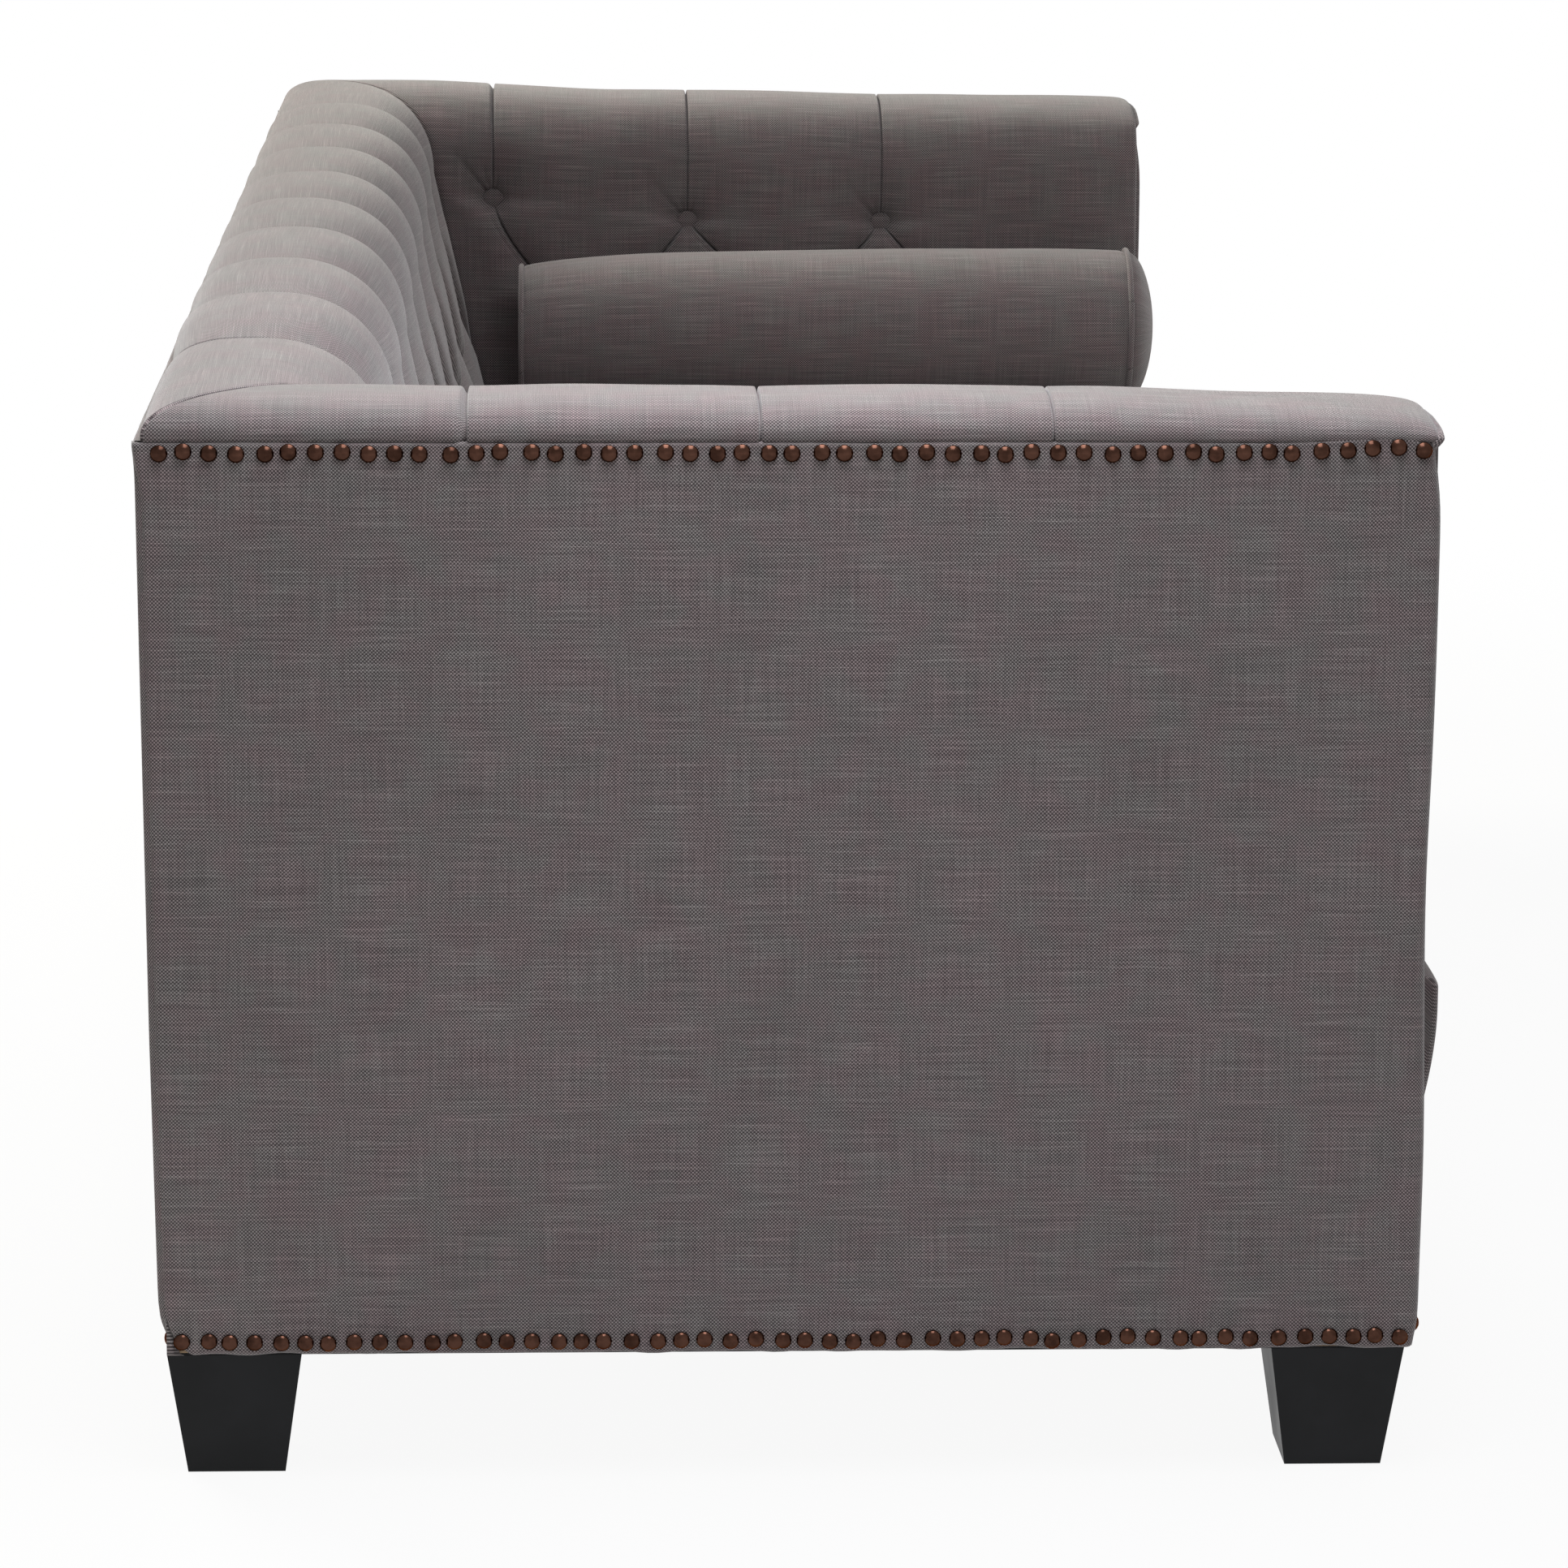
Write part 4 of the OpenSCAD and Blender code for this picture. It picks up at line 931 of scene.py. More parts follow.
def inside_arm(s, section, side):
    """The buttoned arm on the +X side: as the back, along Y, with its crown rounded to the front."""
    front = s.front_y + PAD_FRONT
    end = ARM_COLUMNS + (s.back_y - s.arm_first - ARM_COLUMNS * s.arm_pitch - front) / s.arm_pitch
    uppers = np.arange(0, ARM_COLUMNS + 1)
    pleats = Pleats(section, uppers, ARM_BENDS, ARM_START, end, False, 56, 0.85)
    c = pleats.c
    y = arm_place(s, c, section.back[:, None])
    run = section.run
    row_one, row_two = (np.interp(-z, -section.z, run) for z in (s.row_one, s.row_two))
    back_one, back_two = (np.interp(-z, -section.z, section.back) for z in (s.row_one, s.row_two))
    buttons = [(float(arm_place(s, np.array(float(k)), back_one)), row_one) for k in uppers]
    buttons += [(float(arm_place(s, np.array(k + 0.5), back_two)), row_two) for k in uppers]
    sink, soft = pleat_sink(
        s, section.arm_share, section, pleats, s.arm_pitch, y, run, buttons, ARM_SEED + side, ARM_FOLDS
    )
    edge = (s.back_y - section.back[:, None]) - y
    fade = smooth(0, CORNER_FADE, edge) * smooth(0, FRONT_FADE, y - front)
    sink = sink * fade + corner_depth(s, section, edge, ARM_CORNER_REACH)
    sink = sink - soft * smooth(0, SOFT_FADE, edge)
    sink = sink + edge_round(y - front, NOSE_ROUND) + NOSE_TUCK * np.exp(-(y - front) / TUCK_WIDTH)
    normal = section.arm_normal[:, None]
    tuck = SEAT_TUCK * np.exp(-section.run / TUCK_RUN)[:, None]
    level = np.where(np.arange(section.rows) < section.rows - 1, 1.0, 0.0)[:, None]
    x = s.half_len - section.arm[:, None] + sink * normal[..., 0] - tuck
    shift = row_shift(s, section, c)
    lift = arm_rise(s, side, y) * section.rise[:, None]
    turn = np.exp(-edge / CORNER_TURN)
    y = y + turn * (sink * normal[..., 0] - FIT)
    z = section.z[:, None] - sink * normal[..., 1] * level
    z = z - np.maximum(0, z - s.seam_z) * (1 - front_round(s, y, side)) + lift + shift
    hidden = []
    for (inward, height), (behind, _) in zip(carried(s, False), carried(s, True)):
        row_y = arm_place(s, c[0], min(behind, s.arm_t - s.pad_t + LEAN_ROOM))
        row_z = height - np.maximum(0, height - s.seam_z) * (1 - front_round(s, row_y, side))
        hidden.append(np.stack([np.full_like(row_y, s.half_len - inward), row_y, row_z], -1))
    points, down = with_hidden(np.stack([x, y, z], -1), hidden, run)
    shift = np.pad(shift, ((0, len(hidden)), (0, 0)))
    uv = np.stack(np.broadcast_arrays(points[..., 1], down[:, None] - shift), -1)
    return points, uv, [at for at, _ in buttons]


def surface_at(points, along_axis, along, row):
    """Point of a padding grid in a row, nearest to a place along an axis."""
    line = points[row]
    near = int(np.argmin(np.abs(line[:, along_axis] - along)))
    return line[near]


# Covered button: places across it as shares of its radius, its heights there, and how far it stands out
BUTTON_REACH_SHARES = (0.0, 0.22, 0.45, 0.65, 0.8, 0.9, 0.97, 1.0, 0.97, 0.86)
BUTTON_HEIGHTS = np.array([4.3, 4.2, 3.9, 3.4, 2.75, 2.1, 1.3, 0.4, -0.8, -2.4]) * MM
BUTTON_GATHER = 0.4 * MM
BUTTON_GATHERS = 11
BUTTON_TILT = 0.035
BACK_BUTTON_STAND = 2.4 * MM
ARM_BUTTON_STAND = 4.4 * MM


def covered_button(s, place, outward, seed):
    """Covered button: a dome h (1 - (r/R)^2.4) drawn in under its rim, with gathers round the edge."""
    rng = np.random.default_rng(seed)
    radius, turn = s.button_d / 2, np.linspace(0, FULL_TURN, 36, endpoint=False)
    reach, height = np.array(BUTTON_REACH_SHARES), BUTTON_HEIGHTS
    gather = np.cos(BUTTON_GATHERS * turn + rng.uniform(0, 6)) * np.clip(reach - 0.6, 0, 1)[:, None]
    gather = BUTTON_GATHER * gather
    tilt = rng.normal(0, BUTTON_TILT, 2)
    r = reach[:, None] * radius + gather
    a, b = r * np.cos(turn), r * np.sin(turn)
    h = height[:, None] + gather + a * tilt[0] + b * tilt[1]
    outward = outward / np.linalg.norm(outward)
    side = np.cross([0.0, 0.0, 1.0], outward)
    side /= np.linalg.norm(side)
    up = np.cross(outward, side)
    points = place + a[..., None] * side + b[..., None] * up + h[..., None] * outward
    uv = np.stack([a + seed * 0.037, b], -1)
    return points.reshape(-1, 3), quads_of(len(reach), len(turn), wrap_cols=True), uv.reshape(-1, 2)


# Outside covers

# Nail lines: the dent round a nail, the hand's error along and across, and where the rows lie and end
DENT_DEPTH = 0.5 * MM
DENT_REACH = 8 * MM
NAIL_SWAY = 1.1 * MM
NAIL_LIFT = 0.55 * MM
NAIL_TOP_DROP = 6.7 * MM
NAIL_BASE_RISE = 10.8 * MM
NAIL_END = 11.5 * MM
NAIL_TOP_END = 11 * MM
NAIL_LOW_START = 17.5 * MM
NAIL_FRONT_END = 28 * MM
LOW_GAP_SHARE = 0.98
NAIL_SEEDS = {-1: 100, 1: 200, "back": 301, "front": 302}


def dents(u, v, nails):
    """Depth pressed round each nail: DENT_DEPTH exp(-(r / DENT_REACH)^2), within three times that reach."""
    total = np.zeros(np.broadcast(u, v).shape)
    for at, height in nails:
        near = np.abs(u[:, 0] - at) < 3 * DENT_REACH
        total[near] += np.exp(-(((u[near] - at) ** 2 + (v[near] - height) ** 2) / DENT_REACH**2))
    return DENT_DEPTH * total


def nail_line(start, end, height, gap, seed):
    """Nail places along a line: even gaps with a hand's error along and across."""
    rng = np.random.default_rng(seed)
    count = int(round(abs(end - start) / gap)) + 1
    places = np.linspace(start, end, count) + rng.normal(0, NAIL_SWAY, count)
    return np.stack([places, height + rng.normal(0, NAIL_LIFT, count)], -1)


def arm_nails(s, side):
    """Both nail rows of an outside arm panel, as (y, z)."""
    seed, top_z, low_z = NAIL_SEEDS[side], s.seam_z - NAIL_TOP_DROP, s.base_z + NAIL_BASE_RISE
    top = nail_line(s.back_y - NAIL_END, s.front_y + NAIL_TOP_END, top_z, s.nail_gap, seed)
    top[:, 1] -= seam_dip(s, top[:, 0])
    start, end = s.back_y - NAIL_LOW_START, s.front_y + NAIL_END
    low = nail_line(start, end, low_z, s.nail_gap * LOW_GAP_SHARE, seed + 1)
    return np.concatenate([top, low])


def foot_nails(s, face):
    """Nail row along the foot of the outside back or of the front, as (x, z)."""
    reach = s.half_len - (NAIL_END if face == "back" else NAIL_FRONT_END)
    return nail_line(-reach, reach, s.base_z + NAIL_BASE_RISE, s.nail_gap, NAIL_SEEDS[face])


# Edges of the covers, in millimetres: the top seam's falls as (fall, from, to) behind the front; and the
# panels' bells as (out, height, reach), a height of "seam" or "foot" being that line's own
SEAM_FALLS = ((2.6, 22, 15), (2.0, 13, 3), (-3.3, 110, 26))
BACK_BELLS = ((1.2, "seam", 15), (-9.5, "foot", 19))
FRONT_BELLS = ((4.6, "seam", 30), (2.6, 390, 90), (-0.8, 210, 60), (3.0, "foot", 14))
REAR_BELLS = ((-8.0, "foot", 7),)
BACK_LEANS = (0.0088, 0.0163)
LEAN_FROM = 0.3
HEM_RISE = 1.8 * MM
SIDE_BAND = 3.5 * MM
SIDE_BAND_FROM = 2 * MM
SIDE_BAND_TO = 42 * MM


def seam_dip(s, y):
    """Drop of the top seam along an arm: it climbs a little to the front, then falls in two small steps."""
    v = y - s.front_y
    return sum(fall * MM * smooth(start * MM, end * MM, v) for fall, start, end in SEAM_FALLS)


def bells(s, z, rows):
    """Sum over rows of out exp(-((z - height) / reach)^2)."""
    lines = {"seam": s.seam_z / MM, "foot": s.base_z / MM}
    return sum(out * MM * np.exp(-(((z / MM - lines.get(at, at)) / reach) ** 2)) for out, at, reach in rows)


def back_line(s, z):
    """Y of the outside back at a height: it leans out a little to the top and tucks in at its foot."""
    lean = np.where(z > LEAN_FROM, *BACK_LEANS) * (z - LEAN_FROM)
    return s.back_y + lean + bells(s, z, BACK_BELLS)


def side_edges(s, z):
    """Front and rear edge of an outside arm panel at a height: nearly plumb, with a hand's unevenness."""
    band = SIDE_BAND * smooth(s.seam_z - SIDE_BAND_FROM, s.seam_z - SIDE_BAND_TO, z)
    return s.front_y + bells(s, z, FRONT_BELLS), back_line(s, z) - band + bells(s, z, REAR_BELLS)


def cover_panel(edges, t, v, out, depth, top_dip, seed, rounds, nails):
    """Grid of an outside cover: (along, height, outward) at t x v, t running from edge to edge.

    It stands out by a flat-topped crown, rounds off at its four edges, sinks round each nail, and has
    a slightly wavy foot. The last lines on each side turn back to the frame. Its weave places come
    with it, and run on round the edges.
    """
    tt, vv = np.meshgrid(t, v, indexing="ij")
    start, end = edges(vv)
    uu = start + (end - start) * tt
    top_v = v[-1] - top_dip(uu)
    su, sv = 2 * tt - 1, 2 * (vv - v[0]) / (v[-1] - v[0]) - 1
    crown = out * (1 - np.abs(su) ** 6) * (1 - np.abs(sv) ** 6)
    falls = [edge_round(d, r) for d, r in zip((uu - start, end - uu, vv - v[0], v[-1] - vv), rounds)]
    fall = sum(falls)
    soft = 0.8 * MM * waves(uu, vv, seed, 0.23) + 0.25 * MM * waves(uu, vv, seed + 1, 0.06)
    inner = smooth(0, 30 * MM, uu - start) * smooth(0, 30 * MM, end - uu)
    hem = 1.9 * MM * waves(uu, 0 * uu, seed + 2, 0.05) * smooth(30 * MM, 0, vv - v[0])
    height = vv + hem - (v[-1] - top_v) * smooth(60 * MM, 0, v[-1] - vv)
    stand = crown - fall + soft * inner - dents(uu, height, nails)
    weave = np.stack([uu - falls[0] + falls[1], height - falls[2] + falls[3]], -1)
    around = ((1, 1), (1, 1), (0, 0))
    rim = np.pad(np.stack([uu, height, stand], -1), around, mode="edge")
    rim[0, :, 2] = rim[-1, :, 2] = rim[:, 0, 2] = rim[:, -1, 2] = -depth
    return rim, np.pad(weave, around, mode="edge")


def panel_heights(s):
    """Heights of a panel's rows, fine near its foot and its top seam."""
    return spaced(s.base_z + HEM_RISE, s.seam_z, 1.5 * MM, 9 * MM, 27 * MM)


def even_share(start, end, fine, coarse, reach):
    """Places along a panel as shares of its width."""
    return (spaced(start, end, fine, coarse, reach) - start) / (end - start)


def outside_arm(s, side):
    """Outside arm cover, with its top edge turned over a tacking strip."""
    t = even_share(s.front_y, s.back_y, 1.6 * MM, 7 * MM, 26 * MM)
    rounds = (7 * MM, 3 * MM, 3.5 * MM, 1.7 * MM)
    rim, weave = cover_panel(
        lambda z: side_edges(s, z), t, panel_heights(s), 1.2 * MM, s.panel_t, lambda y: seam_dip(s, y),
        7 + side, rounds, arm_nails(s, side)
    )
    points = np.stack([side * (s.half_len + rim[..., 2]), rim[..., 0], rim[..., 1]], -1)
    return points, weave


def outside_back(s):
    """Outside back cover: it swells past the side covers within a few centimetres of its edges."""
    edge = s.half_len - 1.5 * MM
    t = even_share(-edge, edge, 1.6 * MM, 12 * MM, 30 * MM)
    rounds = (4 * MM, 4 * MM, 3 * MM, 1.7 * MM)
    rim, weave = cover_panel(
        lambda z: (-edge + 0 * z, edge + 0 * z), t, panel_heights(s), 3 * MM, s.panel_t, np.zeros_like,
        21, rounds, foot_nails(s, "back")
    )
    y = back_line(s, rim[..., 1]) + rim[..., 2]
    y[0] = y[-1] = y[:, 0] = y[:, -1] = s.back_y - s.panel_t
    return np.stack([rim[..., 0], y, rim[..., 1]], -1), weave


def arm_facing(s, side):
    """Cover over an arm's front: a thin lip in the arm's outline, rounded off along all its edge."""
    tall = s.seam_z + FACING_TOP_SHARES[side] * (s.arm_h - s.seam_z)
    low = np.linspace(s.base_z + HEM_RISE, s.seam_z - 24 * MM, 60)
    v = np.concatenate([low, np.linspace(s.seam_z - 23 * MM, tall, 34)])
    inward, height = roll(s, np.linspace(0, math.pi, 2000))
    height = height - np.maximum(0, height - s.seam_z) * (1 - FACING_TOP_SHARES[side])
    half = len(inward) // 2
    outer = np.where(v > s.seam_z, np.interp(v, height[:half], inward[:half]), 0)
    inner = np.interp(-v, -height[half:], inward[half:], right=s.arm_t)
    step = 1 * MM + 6.5 * MM * smooth(s.seam_z - 2 * MM, s.seam_z - 8 * MM, v)
    outer = np.maximum(outer + 0.2 * MM, step)
    inner = np.maximum(inner - 5 * MM, outer + 0.2 * MM)
    o = outer[:, None] + (inner - outer)[:, None] * drawn(30, 0.85)
    vv = v[:, None] + 0 * o
    rim_gap = np.minimum(o - outer[:, None], inner[:, None] - o)
    fall = edge_round(o - outer[:, None], FACING_ROUND) + edge_round(inner[:, None] - o, FACING_ROUND)
    fall += edge_round(vv - v[0], 3 * MM) + edge_round(tall - vv, FACING_ROUND)
    crown = 0.9 * MM * smooth(0, 40 * MM, rim_gap) + 0.4 * MM * waves(o, vv, 31 + side, 0.08)
    below_seam = smooth(s.seam_z + 2 * MM, s.seam_z - 6 * MM, vv)
    plane = s.front_y + (side_edges(s, vv)[0] - s.front_y) * below_seam
    y = plane - FACING_STAND + np.minimum(fall, FACING_LIP) - crown * smooth(0, 12 * MM, rim_gap)
    rim = np.pad(np.stack([side * (s.half_len - o), y, vv], -1), ((1, 1), (1, 1), (0, 0)), mode="edge")
    behind = np.pad(plane, 1, mode="edge") + FACING_LIP + FACING_TUCK
    for edge in (np.s_[0, :], np.s_[-1, :], np.s_[:, 0], np.s_[:, -1]):
        rim[(*edge, 1)] = behind[edge]
    middle = rim.shape[1] // 2 - 1
    turned = (rim[..., 1] - rim[:, middle : middle + 1, 1]) * np.sign(np.arange(rim.shape[1]) - middle - 0.5)
    return rim, np.stack([rim[..., 0] - side * turned, rim[..., 2]], -1)


BORDER_FULL_SHARE = 0.9
BORDER_ROUND = 9 * MM


def border_front(s, z):
    """Y of the padded front border: it swells as sin^2 to its fullest near the top."""
    reach = s.front_y - BORDER_LOW[1]
    top = BORDER_HIGH[2]
    full = s.base_z + (top - s.base_z) * BORDER_FULL_SHARE
    u = np.clip((z - s.base_z) / (full - s.base_z), 0, 1)
    fall = edge_round(top - z, BORDER_ROUND)
    return s.front_y - reach * np.sin(u * math.pi / 2) ** 2 + fall


def front_border(s):
    """Padded border below the cushions, from arm to arm, rolled over the front rail."""
    x0, x1 = BORDER_LOW[0], BORDER_HIGH[0]
    u = spaced(x0, x1, 2 * MM, 10 * MM, 16 * MM)
    top = BORDER_HIGH[2]
    foot = s.base_z + HEM_RISE + np.arange(0, 28, 1.5) * MM
    upright = np.linspace(s.base_z + 31 * MM, top - 10 * MM, 34)
    bend = np.sin(np.linspace(0.05, 1, 10) * math.pi / 2)
    v = np.concatenate([foot, upright, top - BORDER_ROUND * (1 - bend)])
    uu, vv = np.meshgrid(u, v, indexing="ij")
    soft = 0.9 * MM * waves(uu, vv, 41, 0.14) + 0.3 * MM * waves(uu, vv, 42, 0.05)
    edge = smooth(0, 20 * MM, uu - x0) * smooth(0, 20 * MM, x1 - uu) * smooth(0, 14 * MM, vv - s.base_z)
    y = border_front(s, vv) + soft * edge + dents(uu, vv, foot_nails(s, "front"))
    y += edge_round(vv - v[0], 3.5 * MM)
    y += 0.6 * edge_round(uu - x0, 8 * MM) + 0.6 * edge_round(x1 - uu, 8 * MM)
    rail_y, board_y, ledge = s.front_y + 30 * MM, s.front_y + 8 * MM, s.base_z + 166 * MM
    sides = [np.stack([uu, y, vv], -1)]
    for back, height in ((rail_y, top), (rail_y, ledge), (board_y, ledge), (board_y, s.base_z)):
        sides.append(np.stack([u, np.full_like(u, back), np.full_like(u, height)], -1)[:, None])
    points = np.concatenate(sides, 1)
    return points, np.stack([points[..., 0], points[..., 2] - points[..., 1]], -1)


def deck_platform():
    """Padded platform under the cushions: soft and slightly dished, with a turned front edge."""
    lo, hi = DECK_LOW, DECK_HIGH
    u = spaced(lo[0], hi[0], 3 * MM, 22 * MM, 12 * MM)
    v = spaced(lo[1], hi[1], 3 * MM, 14 * MM, 12 * MM)
    uu, vv = np.meshgrid(u, v, indexing="ij")
    fall = edge_round(uu - lo[0], 8 * MM) + edge_round(hi[0] - uu, 8 * MM)
    fall += edge_round(vv - lo[1], 8 * MM) + edge_round(hi[1] - vv, 8 * MM)
    dish = (1.8 + 0.9 * waves(uu, vv, 61, 0.2)) * MM * smooth(0, 60 * MM, vv - lo[1])
    seam = 1.5 * MM * np.exp(-(((vv - lo[1] - 120 * MM) / (2.5 * MM)) ** 2))
    points = np.stack([uu, vv, hi[2] - fall - dish - seam], -1)
    rim = np.pad(points, ((1, 1), (1, 1), (0, 0)), mode="edge")
    rim[0, :, 2] = rim[-1, :, 2] = rim[:, 0, 2] = rim[:, -1, 2] = lo[2]
    return rim, rim[..., :2]


# Loose cushions and bolsters

# Seat cushion: the squareness of its outline, its seams' inset, crown, bellied side, and fall of its front
CUSHION_POWER = 34
CUSHION_EDGE = 3 * MM
CUSHION_CROWN = 20 * MM
CUSHION_BELLY = 4 * MM
CUSHION_SHRINK = 3 * MM
CUSHION_GAP = 0.6 * MM
WELT_INSET = 3.6 * MM
FRONT_FALL = 60 * MM
FRONT_STEP = 70 * MM
FRONT_MIDDLE_SHARE = 0.28

# Cloth simulation of a seat cushion: voxel, pressure, frames, mass, stiffnesses, and how far a point may move
VOXEL = 6.5 * MM
PRESSURE = 3.4
FRAMES = 20
CLOTH_MASS = 0.35
STRETCH_STIFFNESS = 12.0
BEND_STIFFNESS = 0.6
MOST_MOVED = 9 * MM

# Bolster: its domed ends, its swell over its rims, and how much thinner its piping is than the cushions'
FRONT_DOME = 26 * MM
REAR_DOME = 23 * MM
REAR_BULGE = 3 * MM
BOLSTER_SWELL = 3.4 * MM
BOLSTER_WELT_LESS = 0.4 * MM


def squircle(n, power):
    """n places round the unit square with rounded corners: p / (|x|^k + |y|^k)^(1/k)."""
    t = np.linspace(0, 4, n, endpoint=False)
    side, along = t.astype(int), 2 * (t % 1) - 1
    sides = [side == which for which in range(4)]
    flat = np.ones_like(along)
    x = np.select(sides, [flat, -along, -flat, along])
    y = np.select(sides, [along, flat, -along, -flat])
    size = (np.abs(x) ** power + np.abs(y) ** power) ** (1 / power)
    return x / size, y / size


def cushion_ring(s, inset, z, scale=1.0, n=240):
    """Ring of a seat cushion at a height: the squircle at the cushion's size, leaning at the rear.

    Its front falls back with height as k d (1 - exp(-0.55 q^2)), q running from 0 at the foot in steps
    of FRONT_STEP, and k rising from the middle to the ends as |x|^10.
    """
    x, y = squircle(n, CUSHION_POWER)
    low, high = CUSHION_LOW, CUSHION_HIGH
    rear = high[1] - (high[2] - low[2] - CUSHION_CROWN) * math.tan(s.recline)
    half_w, half_d = (high[0] - low[0]) / 2, (rear - low[1]) / 2
    px = x * scale * (half_w - inset)
    py = (low[1] + rear) / 2 + y * scale * (half_d - inset)
    py = py + (z - low[2]) * math.tan(s.recline) * (1 + y * scale) / 2
    q = (np.clip(z, low[2], high[2]) - low[2]) / FRONT_STEP
    k = FRONT_MIDDLE_SHARE + (1 - FRONT_MIDDLE_SHARE) * np.abs(x * scale) ** 10
    py = py + k * FRONT_FALL * (1 - np.exp(-0.55 * q * q)) * np.clip((1 - y * scale) / 2, 0, 1) ** 4
    return np.stack([px, py, np.full_like(px, z)], -1)


def cushion_shape(s, shrink):
    """Rings of a box cushion: flat foot, boxed side that bellies out, crowned top, all closed."""
    low, high = CUSHION_LOW[2] + shrink * 0.3, CUSHION_HIGH[2] - CUSHION_CROWN - shrink
    rings = [cushion_ring(s, CUSHION_EDGE, low, r) for r in (0.0, 0.2, 0.4, 0.6, 0.8, 0.93, 0.985)]
    for t in np.linspace(0, 1, 15):
        inset = CUSHION_EDGE + shrink + CUSHION_BELLY * (2 * t - 1) ** 2
        rings.append(cushion_ring(s, inset, low + (high - low) * t))
    for r in (0.985, 0.95, 0.88, 0.78, 0.66, 0.54, 0.42, 0.3, 0.2, 0.1, 0.0):
        rise = (CUSHION_CROWN - 2 * MM) * (1 - r**3)
        rings.append(cushion_ring(s, CUSHION_EDGE + shrink, high + rise, r))
    return np.array(rings)


def evaluated(piece):
    """New mesh of what a piece's modifiers make of it."""
    graph = bpy.context.evaluated_depsgraph_get()
    return bpy.data.meshes.new_from_object(piece.evaluated_get(graph))


def places(mesh):
    """Vertex places as an n x 3 array."""
    co = np.empty(len(mesh.vertices) * 3, np.float32)
    mesh.vertices.foreach_get("co", co)
    return co.reshape(-1, 3).astype(float)


def set_places(mesh, co):
    """Writes vertex places back."""
    mesh.vertices.foreach_set("co", np.ascontiguousarray(co, np.float32).ravel())
    mesh.update()


def inflated(mesh):
    """Remeshed cloth under pressure, with no gravity, each point held within MOST_MOVED of its start."""
    scene = bpy.context.scene
    piece = bpy.data.objects.new("cloth_work", mesh)
    scene.collection.objects.link(piece)
    remesh = piece.modifiers.new("even", "REMESH")
    remesh.mode, remesh.voxel_size, remesh.adaptivity = "VOXEL", VOXEL, 0.0
    even = evaluated(piece)
    piece.modifiers.clear()
    piece.data = even
    bpy.data.meshes.remove(mesh)
    start = places(even)
    cloth = piece.modifiers.new("cloth", "CLOTH")
    settings = cloth.settings
    settings.use_pressure = True
    settings.uniform_pressure_force = PRESSURE
    settings.quality = 5
    settings.mass = CLOTH_MASS
    settings.tension_stiffness = settings.compression_stiffness = STRETCH_STIFFNESS
    settings.bending_stiffness = BEND_STIFFNESS
    settings.effector_weights.gravity = 0
    cloth.collision_settings.use_collision = False
    cloth.point_cache.frame_start, cloth.point_cache.frame_end = 1, FRAMES
    for number in range(1, FRAMES + 1):
        scene.frame_set(number)
    made = evaluated(piece)
    moved = places(made) - start
    size = np.linalg.norm(moved, axis=1, keepdims=True)
    moved *= np.minimum(1, MOST_MOVED / np.maximum(size, 1e-9))
    set_places(made, start + moved)
    bpy.data.objects.remove(piece)
    scene.frame_set(1)
    return made


def boxed_weave(mesh, offset):
    """Weave map by each face's main direction, in metres."""
    count = len(mesh.polygons)
    normal = np.empty(count * 3, np.float32)
    mesh.polygons.foreach_get("normal", normal)
    axis = np.argmax(np.abs(normal.reshape(-1, 3)), 1)
    total = np.empty(count, np.int32)
    mesh.polygons.foreach_get("loop_total", total)
    corner = np.empty(len(mesh.loops), np.int32)
    mesh.loops.foreach_get("vertex_index", corner)
    co, main = places(mesh)[corner], np.repeat(axis, total)
    u = np.choose(main, [co[:, 1], co[:, 0], co[:, 0]])
    v = np.choose(main, [co[:, 2], co[:, 2], co[:, 1]])
    layer = mesh.uv_layers.get("Weave") or mesh.uv_layers.new(name="Weave")
    layer.data.foreach_set("uv", np.stack([u + offset, v], -1).astype(np.float32).ravel())


def seat_cushion(s, which):
    """Seat cushion -1, 0 or 1: cloth blown up from a smaller box, then held within the cushion's box."""
    shift = which * (CUSHION_HIGH[0] - CUSHION_LOW[0] + CUSHION_GAP)
    mesh = grid("cushion_start", cushion_shape(s, CUSHION_SHRINK), wrap_cols=True)
    mesh = inflated(mesh)
    co = places(mesh)
    low, high = CUSHION_LOW, CUSHION_HIGH
    level = np.clip((co[:, 2] - low[2]) / (high[2] - CUSHION_CROWN - low[2]), 0, 1)
    co[:, 2] += 0.9 * MM * waves(co[:, 0], co[:, 1], 70 + which, 0.12) * smooth(0.5, 1, level)
    co[:, 1] -= 0.7 * MM * waves(co[:, 0], co[:, 2], 75 + which, 0.09) * smooth(-0.25, -0.4, co[:, 1])
    co[:, 0] = np.clip(co[:, 0], low[0], high[0])
    co[:, 2] = np.maximum(co[:, 2], low[2])
    limit = high[1] - (high[2] - CUSHION_CROWN - co[:, 2]) * math.tan(s.recline)
    co[:, 1] = np.minimum(co[:, 1], limit)
    if which:
        co[:, 0] *= which
        if which < 0:
            mesh.flip_normals()
    co[:, 0] += shift
    set_places(mesh, co)
    boxed_weave(mesh, 0.31 * which)
    mesh.polygons.foreach_set("use_smooth", np.ones(len(mesh.polygons), bool))
    return mesh, shift


def cushion_welt(s, shift, seed):
    """Piping round the top of a cushion's boxed side."""
    path = cushion_ring(s, WELT_INSET, CUSHION_HIGH[2] - CUSHION_CROWN, 1.0, 480)
    path[:, 0] += shift
    path[:, 2] += 0.8 * MM * waves(path[:, 0], path[:, 1], seed, 0.1)
    return [tube(path, s.welt_d / 2)]


